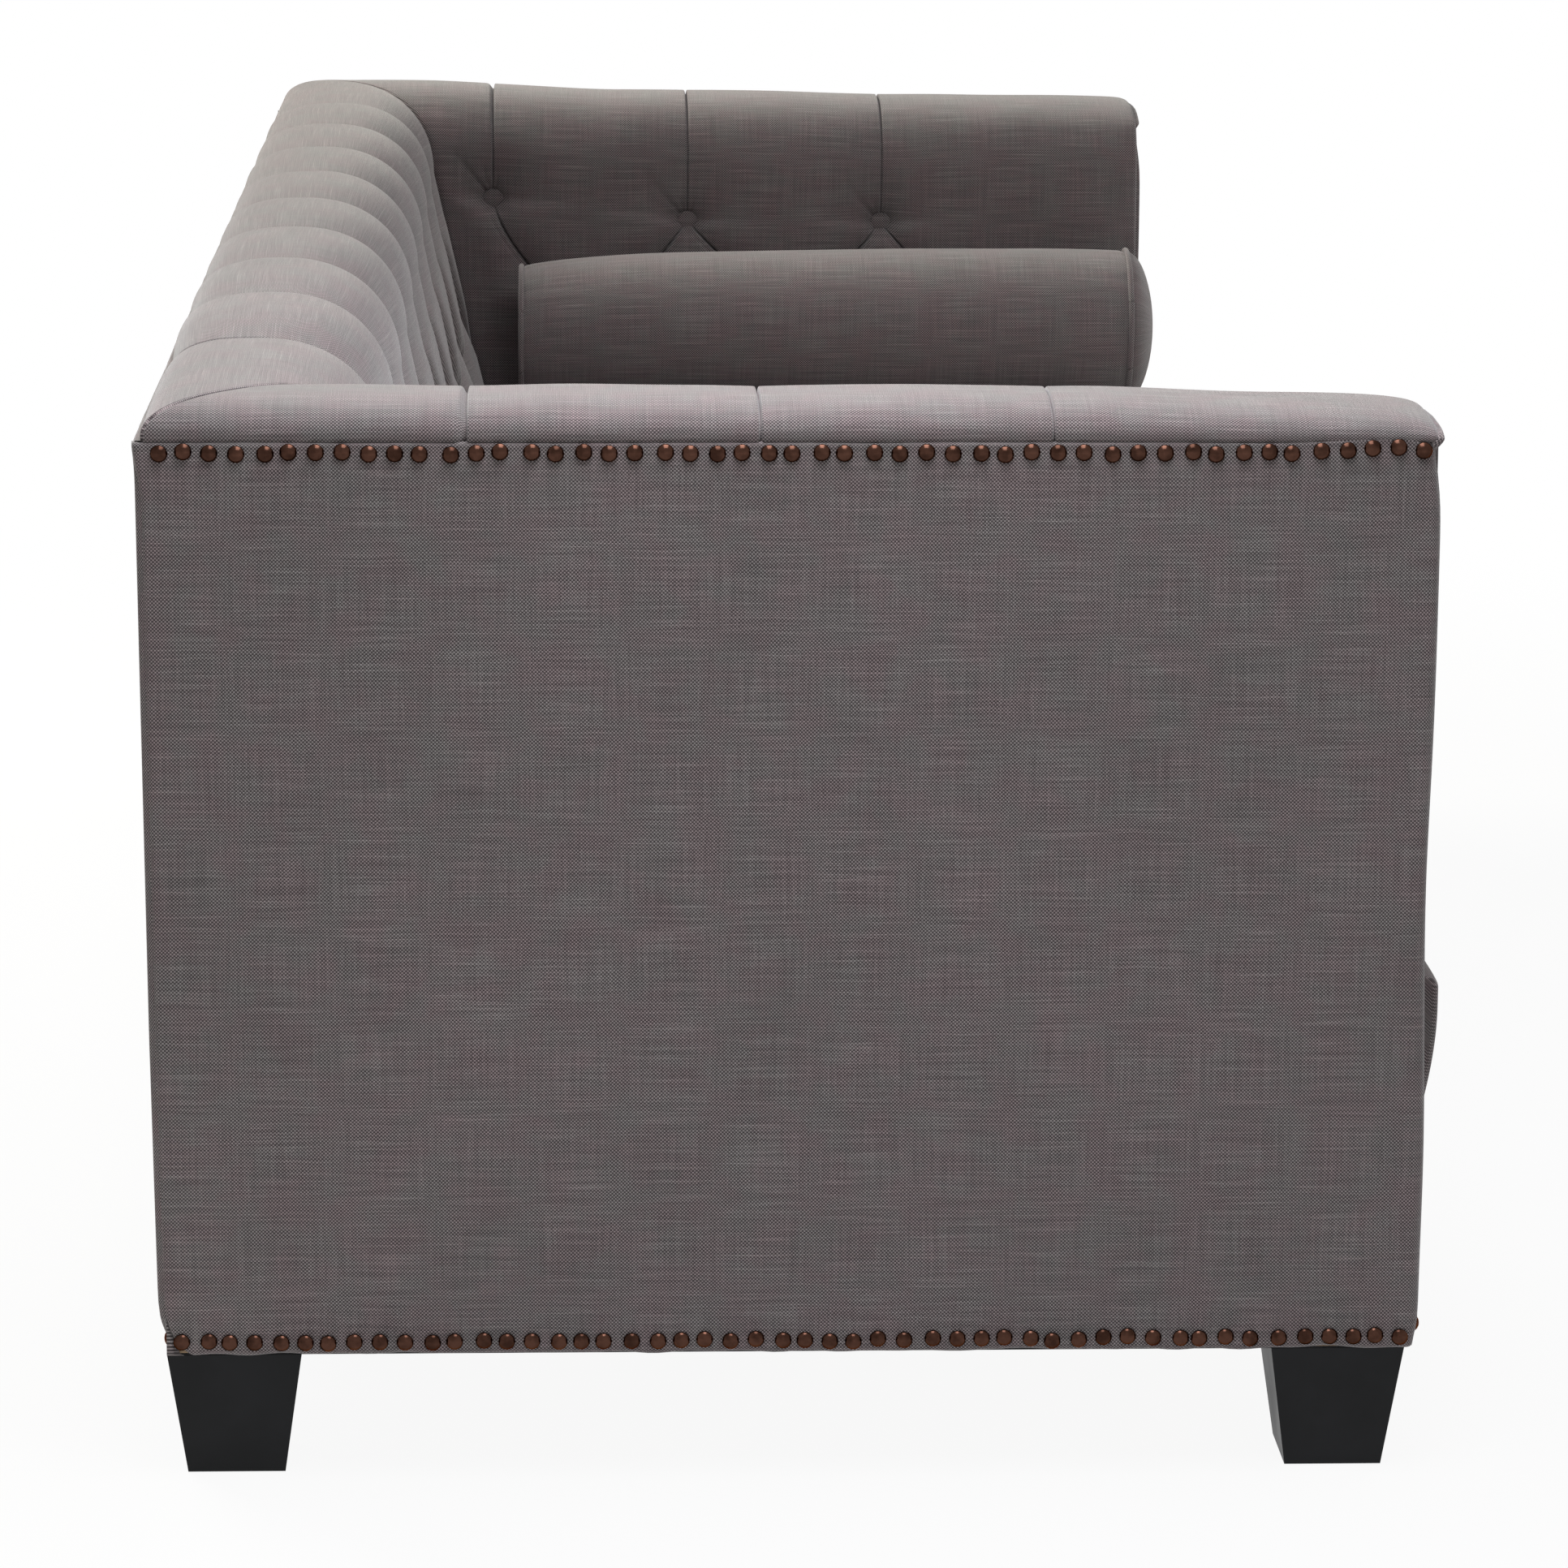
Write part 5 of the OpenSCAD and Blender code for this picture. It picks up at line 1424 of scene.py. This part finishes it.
def bolster_shape(s, side):
    """Bolster on the +X side: a full round roll with domed ends, softly uneven, puckered at its piping.

    Its top drops towards the rear by 9 exp(-t / 45) + 7 (1 - t / 580)^1.5, in millimetres at t from the
    rear piping: half of that is taken from the radius and half from the height of its middle.
    """
    low, high = BOLSTER_LOW, BOLSTER_HIGH
    cx, cz = (low[0] + high[0]) / 2, (low[2] + high[2]) / 2
    radius, swell = (high[0] - low[0]) / 2, BOLSTER_SWELL
    y0, y1 = low[1], high[1]
    front, rear = y0 + FRONT_DOME, y1 - REAR_DOME
    turn = np.linspace(0, FULL_TURN, 200, endpoint=False)
    arc = np.linspace(0, math.pi / 2, 16)
    body = np.linspace(0, 1, 90)[1:-1]
    rim = radius - swell
    end_r, bulge = rim * np.sin(arc), 1 - np.cos(arc)
    flat = 1 - 0.25 * np.exp(-((end_r / rim) ** 2) * 9)
    r = np.concatenate([end_r, rim + swell * np.sin(math.pi * body) ** 0.6, end_r[::-1]])
    y = np.concatenate([
        front - FRONT_DOME * (1 - bulge * flat), front + (rear - front) * body,
        (rear + REAR_BULGE * (1 - bulge * flat))[::-1],
    ])

    def drop(y):
        t = np.clip((rear - y) / MM, 0, 580)
        return (9 * np.exp(-t / 45) + 7 * (1 - t / 580) ** 1.5) * MM

    rr, tt = np.meshgrid(r, turn, indexing="ij")
    yy = np.repeat(y[:, None], len(turn), 1)
    from_rim = np.minimum(np.abs(yy - front), np.abs(rear - yy))
    rng = np.random.default_rng(90 + side)
    folds = sum(rng.uniform(0.3, 1.0) * np.cos(k * tt + rng.uniform(0, FULL_TURN)) for k in (9, 14, 23, 31))
    rr = rr + (rr / radius) * 0.28 * MM * folds * np.exp(-from_rim / (28 * MM))
    rr = rr + (rr / radius) * 1.0 * MM * waves(yy, tt * radius, 95 + side, 0.15)
    rr = rr - 1.2 * MM * np.exp(-((from_rim / (3.5 * MM)) ** 2)) * (rr > 0.5 * radius)
    shrink = 1 - drop(yy) / 2 / radius
    points = np.stack([cx + rr * shrink * np.cos(tt), yy, cz - drop(yy) / 2 + rr * shrink * np.sin(tt)], -1)
    uv = np.stack([yy + np.where(yy < front, -(rim - rr), 0), tt * radius], -1)
    welts = []
    for at in (front, rear):
        ring = (rim + 0.6 * MM) * (1 - drop(at) / 2 / radius)
        level = cz - drop(at) / 2
        circle = np.stack([cx + ring * np.cos(turn), np.full_like(turn, at), level + ring * np.sin(turn)], -1)
        circle[:, 1] += 0.5 * MM * waves(turn * radius, 0 * turn, 98, 0.08)
        welts.append(tube(circle, s.welt_d / 2 - BOLSTER_WELT_LESS))
    if side < 0:
        points[..., 0] *= -1
        welts = [(p * [-1, 1, 1], q[:, ::-1], t) for p, q, t in welts]
    return points, uv, welts


# Nails


# Nail head: places across it as shares of its radius, its heights there, and how far it stands out
NAIL_REACH_SHARES = (0.0, 0.42, 0.74, 0.93, 1.0, 0.96)
NAIL_HEIGHTS = np.array([3.5, 3.1, 2.15, 1.05, 0.35, -0.7]) * MM
ARM_NAIL_STAND = 0.7 * MM
BACK_NAIL_STAND = 0.6 * MM
FRONT_NAIL_STAND = 0.4 * MM


def nail_heads(s, rows):
    """Domed nail heads at (place, outward, up) rows, each over a thin rolled rim."""
    radius = s.nail_d / 2
    reach, height = np.array(NAIL_REACH_SHARES), NAIL_HEIGHTS
    turn = np.linspace(0, FULL_TURN, 14, endpoint=False)
    a = reach[:, None] * radius * np.cos(turn)
    b = reach[:, None] * radius * np.sin(turn)
    h = np.repeat(height[:, None], len(turn), 1)
    one = quads_of(len(reach), len(turn), wrap_cols=True)
    parts = []
    for place, outward, up in rows:
        across = np.cross(up, outward)
        points = place + a[..., None] * across + b[..., None] * up + h[..., None] * outward
        parts.append((points.reshape(-1, 3), one, np.stack([a, b], -1).reshape(-1, 2)))
    return parts


def piece_from(name, parts, body, material, replaces=()):
    """Piece made of several closed grids."""
    return link(name, close_up(joined(name, parts)), body, finish(material), replaces)


def mirrored(points, side):
    """The +X side's points, turned over to the side asked for."""
    out = points.copy()
    out[..., 0] *= side
    return out


# Operators


class SOFA_OT_frame_finishes(bpy.types.Operator):
    """Gives the frame, springs, legs and bottom cloth their finishes."""

    bl_idname = "sofa.frame_finishes"
    bl_label = "Frame finishes"

    def execute(self, context):
        slots = {part["node"]: part["material_slot"] for part in frame["record"]["subparts"]}
        plain = {
            "black_wood": "leg_lacquer",
            "jute_webbing": "jute_strap",
            "zinc_steel": "zinc_plate",
            "cambric": "bottom_cambric",
            "deck_cloth": "lining_cloth",
            "linen": "linen_cover",
        }
        for node, piece in frame["nodes"].items():
            low, high = corners(node)
            longest = "xyz"[int(np.argmax(high - low))]
            key = plain.get(slots[node]) or slots[node] + "_" + longest
            piece.data.materials.clear()
            piece.data.materials.append(finish(key))
        return {"FINISHED"}


class SOFA_OT_inside_back(bpy.types.Operator):
    """Builds the buttoned inside back and its buttons."""

    bl_idname = "sofa.inside_back"
    bl_label = "Inside back"

    def execute(self, context):
        s = context.scene.sofa_sizes
        section = Section(s)
        points, uv = inside_back(s, section)
        mesh = grid("buttoned_back", points, uv, wrap_rows=True)
        piece = link("buttoned_back", mesh, "base", finish("linen_cover"), ["inside_back"])
        rows = [int(np.argmin(np.abs(section.z - z))) for z in (s.row_one, s.row_two)]
        parts = []
        for row, shift in zip(rows, (0.0, 0.5)):
            n_in, n_z = section.back_normal[row]
            outward = np.array([0.0, -n_in, n_z])
            for k in np.arange(-BACK_COLUMNS, BACK_COLUMNS + 1 - 2 * shift) + shift:
                place = surface_at(points, 0, k * s.back_pitch, row)
                parts.append(covered_button(s, place + BACK_BUTTON_STAND * outward, outward, len(parts)))
        piece_from("buttons_back", parts, "base", "linen_cover", ["back_buttons"])
        return {"FINISHED"}


class SOFA_OT_inside_arms(bpy.types.Operator):
    """Builds both buttoned arms and their buttons."""

    bl_idname = "sofa.inside_arms"
    bl_label = "Inside arms"

    def execute(self, context):
        s = context.scene.sofa_sizes
        section = Section(s)
        rows = [int(np.argmin(np.abs(section.z - z))) for z in (s.row_one, s.row_two)]
        for label, side in SIDES.items():
            points, uv, buttons = inside_arm(s, section, side)
            mesh = grid("buttoned_arm_" + label, mirrored(points, side), uv, wrap_rows=True)
            piece = link(
                "buttoned_arm_" + label, mesh, "base", finish("linen_cover"), ["inside_arm_" + label]
            )
            parts = []
            for i, at in enumerate(buttons):
                row = rows[i // (ARM_COLUMNS + 1)]
                outward = np.array([-side, 0.0, 0.0])
                place = mirrored(surface_at(points, 1, at, row), side) + ARM_BUTTON_STAND * outward
                parts.append(covered_button(s, place, outward, 40 + i + side))
            replaces = ["arm_buttons_" + label]
            piece_from("buttons_arm_" + label, parts, "base", "linen_cover", replaces)
        return {"FINISHED"}


class SOFA_OT_outside_covers(bpy.types.Operator):
    """Builds the flat covers outside the arms and back, and over the arm fronts."""

    bl_idname = "sofa.outside_covers"
    bl_label = "Outside covers"

    def execute(self, context):
        s = context.scene.sofa_sizes
        cloth = finish("linen_cover")
        for label, side in SIDES.items():
            name = "arm_cover_" + label
            link(name, grid(name, *outside_arm(s, side)), "base", cloth, ["outside_arm_" + label])
            name = "arm_front_" + label
            link(name, grid(name, *arm_facing(s, side)), "base", cloth, ["arm_facing_" + label])
        name = "back_cover"
        link(name, grid(name, *outside_back(s)), "base", cloth, ["outside_back"])
        return {"FINISHED"}


class SOFA_OT_seat_front(bpy.types.Operator):
    """Builds the padded front border and the platform under the cushions."""

    bl_idname = "sofa.seat_front"
    bl_label = "Seat front and platform"

    def execute(self, context):
        s = context.scene.sofa_sizes
        mesh = grid("seat_border", *front_border(s), wrap_cols=True)
        border = link("seat_border", mesh, "base", finish("linen_cover"), ["front_border"])
        mesh = grid("seat_platform", *deck_platform())
        deck = link("seat_platform", mesh, "base", finish("lining_cloth"), ["seat_deck"])
        return {"FINISHED"}


class SOFA_OT_seat_cushions(bpy.types.Operator):
    """Builds the three loose seat cushions with their piping."""

    bl_idname = "sofa.seat_cushions"
    bl_label = "Seat cushions"

    def execute(self, context):
        s = context.scene.sofa_sizes
        for which, label in ((-1, "left"), (0, "centre"), (1, "right")):
            mesh, shift = seat_cushion(s, which)
            body, name = "cushion_" + label, "seat_pad_" + label
            mesh.name = name
            piece = link(name, mesh, body, finish("linen_cover"), ["seat_cushion_" + label])
            fine = piece.modifiers.new("fine", "SUBSURF")
            fine.levels = fine.render_levels = 1
            welt = cushion_welt(s, shift, 80 + which)
            piece_from("seat_piping_" + label, welt, body, "linen_cover")
        return {"FINISHED"}


class SOFA_OT_bolsters(bpy.types.Operator):
    """Builds both bolsters with their piping."""

    bl_idname = "sofa.bolsters"
    bl_label = "Bolsters"

    def execute(self, context):
        s = context.scene.sofa_sizes
        for label, side in SIDES.items():
            points, uv, welts = bolster_shape(s, side)
            body, name = "bolster_" + label, "bolster_roll_" + label
            mesh = grid(name, points, uv, wrap_cols=True)
            piece = link(name, mesh, body, finish("linen_cover"), ["bolster_" + label])
            piece_from("bolster_piping_" + label, welts, body, "linen_cover")
        return {"FINISHED"}


class SOFA_OT_nails(bpy.types.Operator):
    """Sets the nail trim along the covers' seams and foot."""

    bl_idname = "sofa.nails"
    bl_label = "Nail trim"

    def execute(self, context):
        s = context.scene.sofa_sizes
        lines = {}
        for label, side in SIDES.items():
            x = side * (s.half_len + ARM_NAIL_STAND)
            lines["nails_arm_" + label] = (side, 0, 0), [(x, y, z) for y, z in arm_nails(s, side)]
        back = [(x, back_line(s, z) + BACK_NAIL_STAND, z) for x, z in foot_nails(s, "back")]
        lines["nails_back"] = (0, 1, 0), back
        front = []
        for x, z in foot_nails(s, "front"):
            y = border_front(s, z) if abs(x) < BORDER_HIGH[0] else s.front_y - FACING_STAND
            front.append((x, y - FRONT_NAIL_STAND, z))
        lines["nails_front"] = (0, -1, 0), front
        for name, (outward, nails) in lines.items():
            rows = [(np.array(place), np.array(outward, float), np.array([0, 0, 1.0])) for place in nails]
            piece_from(name, nail_heads(s, rows), "base", "nail_bronze")
        return {"FINISHED"}


# Where the photograph was taken from, in the frame's metres and degrees
CAMERA_PLACE = np.array([-4.803, 0.1715, 1.2682])
CAMERA_YAW, CAMERA_PITCH, CAMERA_ROLL = (math.radians(a) for a in (-2.318, -12.084, 0.336))
PHOTO_WIDTH = 1932
FOCAL_PIXELS = 7335
SENSOR = 36.0


# Lamps: place, aim, size, watts, spread in degrees and tint. One stands over the left arm and one over the
# whole sofa, two beyond it, a weak one beside it, and a very weak one lights the space between the arms.
LAMPS = (
    ("lamp_over", (-1.25, -0.04, 1.75), (-1.2499, -0.04, 0), (0.8, 1.4), 13.2, 130, (0.95, 0.955, 1)),
    ("lamp_top", (0.2, 0.1, 3.2), (0.2001, 0.1, 0), (3.2, 2.4), 4.0, 60, (1, 1, 1)),
    ("lamp_rear", (2.0, 2.1, 2.4), (0, 0, 0.6), (2.2, 2.0), 130.0, 180, (1, 0.98, 0.88)),
    ("lamp_front", (1.8, -1.8, 2.6), (0, 0, 0.6), (2.0, 2.0), 16.0, 180, (1, 0.98, 0.93)),
    ("lamp_side", (-2.5, -0.6, 0.62), (-1.0, -0.2, 0.55), (2.0, 1.1), 1.25, 180, (1, 1, 1)),
    ("lamp_seat", (-0.45, -0.35, 1.4), (0.95, -0.15, 0.48), (0.7, 0.5), 0.27, 60, (1, 0.97, 0.97)),
)
SURROUND_LIGHT = 0.215
SURROUND_LOOK = 1.0

# Floor: between which distances it fades from pale to white, and how much of it glows at either
FLOOR_FADE = (1.2, 2.8)
FLOOR_GLOW_SHARES = (0.93, 1.0)


class SOFA_OT_stage(bpy.types.Operator):
    """Sets the floor, the lamps, the white surround and the camera."""

    bl_idname = "sofa.stage"
    bl_label = "Stage"

    def execute(self, context):
        scene = context.scene
        scene.view_settings.view_transform = "Standard"
        self.floor()
        self.lamps(scene)
        self.camera(scene)
        return {"FINISHED"}

    def floor(self):
        """Round pale floor that fades to plain white away from the sofa."""
        turn = np.linspace(0, FULL_TURN, 96, endpoint=False)
        reach = np.array([0.0, 1.0, 2.0, 4.0, 10.0, 40.0])
        rr, tt = np.meshgrid(reach, turn, indexing="ij")
        points = np.stack([rr * np.cos(tt), rr * np.sin(tt), 0 * rr], -1)
        quads = quads_of(len(reach), len(turn), wrap_cols=True)[:, ::-1]
        mesh = mesh_of("floor", points.reshape(-1, 3), quads, points.reshape(-1, 3)[:, :2])
        bm = bmesh.new()
        bm.from_mesh(mesh)
        bmesh.ops.remove_doubles(bm, verts=bm.verts, dist=1e-5)
        bmesh.ops.recalc_face_normals(bm, faces=bm.faces)
        if bm.faces[0].normal.z < 0:
            bmesh.ops.reverse_faces(bm, faces=bm.faces)
        bm.to_mesh(mesh)
        bm.free()
        t = Tree("studio_floor")
        t.shader(Base_Color=(0.80, 0.80, 0.80, 1.0), Roughness=0.9, Specular_IOR_Level=0.0)
        place = t.add("ShaderNodeTexCoord").outputs["Object"]
        away = t.add("ShaderNodeVectorMath", operation="LENGTH", in_0=place).outputs["Value"]
        path = t.add("ShaderNodeLightPath").outputs
        mirrored_too = t.math("MAXIMUM", path["Is Glossy Ray"], path["Is Transmission Ray"])
        seen = t.math("MAXIMUM", path["Is Camera Ray"], mirrored_too)
        share = t.math("MULTIPLY", seen, t.ramp(away, *FLOOR_FADE, *FLOOR_GLOW_SHARES))
        glow = t.add("ShaderNodeEmission", in_Color=(1.0, 1.0, 1.0, 1.0), in_Strength=1.0).outputs[0]
        both = t.add("ShaderNodeMixShader", in_0=share, in_1=t.bsdf.outputs[0], in_2=glow).outputs[0]
        t.put(t.tree.nodes["Material Output"], "Surface", both)
        mesh.materials.append(t.material)
        floor = bpy.data.objects.new("floor", mesh)
        bpy.context.scene.collection.objects.link(floor)

    def lamps(self, scene):
        """Sets the soft lamps and the surround, which is dimmer for the sofa's light than it looks."""
        for name, place, aim, size, power, spread, tint in LAMPS:
            lamp = bpy.data.lights.new(name, "AREA")
            lamp.color, lamp.spread = tint, math.radians(spread)
            lamp.shape, lamp.size, lamp.size_y, lamp.energy = "RECTANGLE", size[0], size[1], power
            holder = bpy.data.objects.new(name, lamp)
            holder.visible_camera = False
            scene.collection.objects.link(holder)
            back = np.array(place) - np.array(aim)
            back /= np.linalg.norm(back)
            holder.matrix_world = facing(np.array(place), back)
        world = bpy.data.worlds.new("surround")
        scene.world = world
        world.use_nodes = True
        tree = world.node_tree
        tree.nodes.clear()
        path = tree.nodes.new("ShaderNodeLightPath")
        seen = tree.nodes.new("ShaderNodeMath")
        seen.operation = "MAXIMUM"
        glossy = tree.nodes.new("ShaderNodeMath")
        glossy.operation = "MAXIMUM"
        tree.links.new(path.outputs["Is Glossy Ray"], glossy.inputs[0])
        tree.links.new(path.outputs["Is Transmission Ray"], glossy.inputs[1])
        tree.links.new(path.outputs["Is Camera Ray"], seen.inputs[0])
        tree.links.new(glossy.outputs[0], seen.inputs[1])
        level = tree.nodes.new("ShaderNodeMapRange")
        level.inputs["To Min"].default_value = SURROUND_LIGHT
        level.inputs["To Max"].default_value = SURROUND_LOOK
        tree.links.new(seen.outputs[0], level.inputs["Value"])
        sky = tree.nodes.new("ShaderNodeBackground")
        tree.links.new(level.outputs[0], sky.inputs["Strength"])
        out = tree.nodes.new("ShaderNodeOutputWorld")
        tree.links.new(sky.outputs[0], out.inputs[0])

    def camera(self, scene):
        """Camera from its place, yaw, pitch and roll; the lens is the focal length in photo widths."""
        yaw, pitch, tilt = CAMERA_YAW, CAMERA_PITCH, CAMERA_ROLL
        level = math.cos(pitch)
        ahead = np.array([math.cos(yaw) * level, math.sin(yaw) * level, math.sin(pitch)])
        right = np.cross(ahead, [0.0, 0.0, 1.0])
        right /= np.linalg.norm(right)
        up = np.cross(right, ahead)
        right, up = (
            right * math.cos(tilt) + up * math.sin(tilt),
            up * math.cos(tilt) - right * math.sin(tilt),
        )
        lens = bpy.data.cameras.new("camera")
        lens.sensor_width, lens.lens = SENSOR, FOCAL_PIXELS / PHOTO_WIDTH * SENSOR
        lens.clip_start, lens.clip_end = 0.05, 200.0
        holder = bpy.data.objects.new("camera", lens)
        scene.collection.objects.link(holder)
        turn = np.eye(4)
        turn[:3, 0], turn[:3, 1], turn[:3, 2], turn[:3, 3] = right, up, -ahead, CAMERA_PLACE
        holder.matrix_world = Matrix(turn.tolist())
        scene.camera = holder


def facing(place, back):
    """Matrix that stands at a place with its -Z away from back."""
    right = np.cross([0.0, 0.0, 1.0], back)
    size = np.linalg.norm(right)
    right = right / size if size > 1e-6 else np.array([1.0, 0.0, 0.0])
    turn = np.eye(4)
    turn[:3, 0], turn[:3, 1], turn[:3, 2], turn[:3, 3] = right, np.cross(back, right), back, place
    return Matrix(turn.tolist())


class SOFA_PT_panel(bpy.types.Panel):
    """Lists the pieces in build order."""

    bl_idname = "SOFA_PT_panel"
    bl_label = "Buttoned sofa"
    bl_space_type = "VIEW_3D"
    bl_region_type = "UI"
    bl_category = "Sofa"

    def draw(self, context):
        for operator in OPERATORS:
            self.layout.operator(operator.bl_idname)
        for group in (context.scene.sofa_sizes, context.scene.sofa_colours):
            for key in group.bl_rna.properties.keys():
                if key not in ("rna_type", "name"):
                    self.layout.prop(group, key)


OPERATORS = (
    SOFA_OT_frame_finishes,
    SOFA_OT_inside_back,
    SOFA_OT_inside_arms,
    SOFA_OT_outside_covers,
    SOFA_OT_seat_front,
    SOFA_OT_seat_cushions,
    SOFA_OT_bolsters,
    SOFA_OT_nails,
    SOFA_OT_stage,
)
CLASSES = (SofaSizes, SofaColours, *OPERATORS, SOFA_PT_panel)


def register():
    for kind in CLASSES:
        bpy.utils.register_class(kind)
    bpy.types.Scene.sofa_sizes = bpy.props.PointerProperty(type=SofaSizes)
    bpy.types.Scene.sofa_colours = bpy.props.PointerProperty(type=SofaColours)


def unregister():
    del bpy.types.Scene.sofa_colours
    del bpy.types.Scene.sofa_sizes
    for kind in reversed(CLASSES):
        bpy.utils.unregister_class(kind)


def main():
    """Builds every piece in order."""
    register()
    for operator in OPERATORS:
        group, name = operator.bl_idname.split(".")
        if getattr(getattr(bpy.ops, group), name)() != {"FINISHED"}:
            raise RuntimeError(operator.bl_label + " did not finish")
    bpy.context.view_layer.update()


if __name__ == "__main__":
    main()
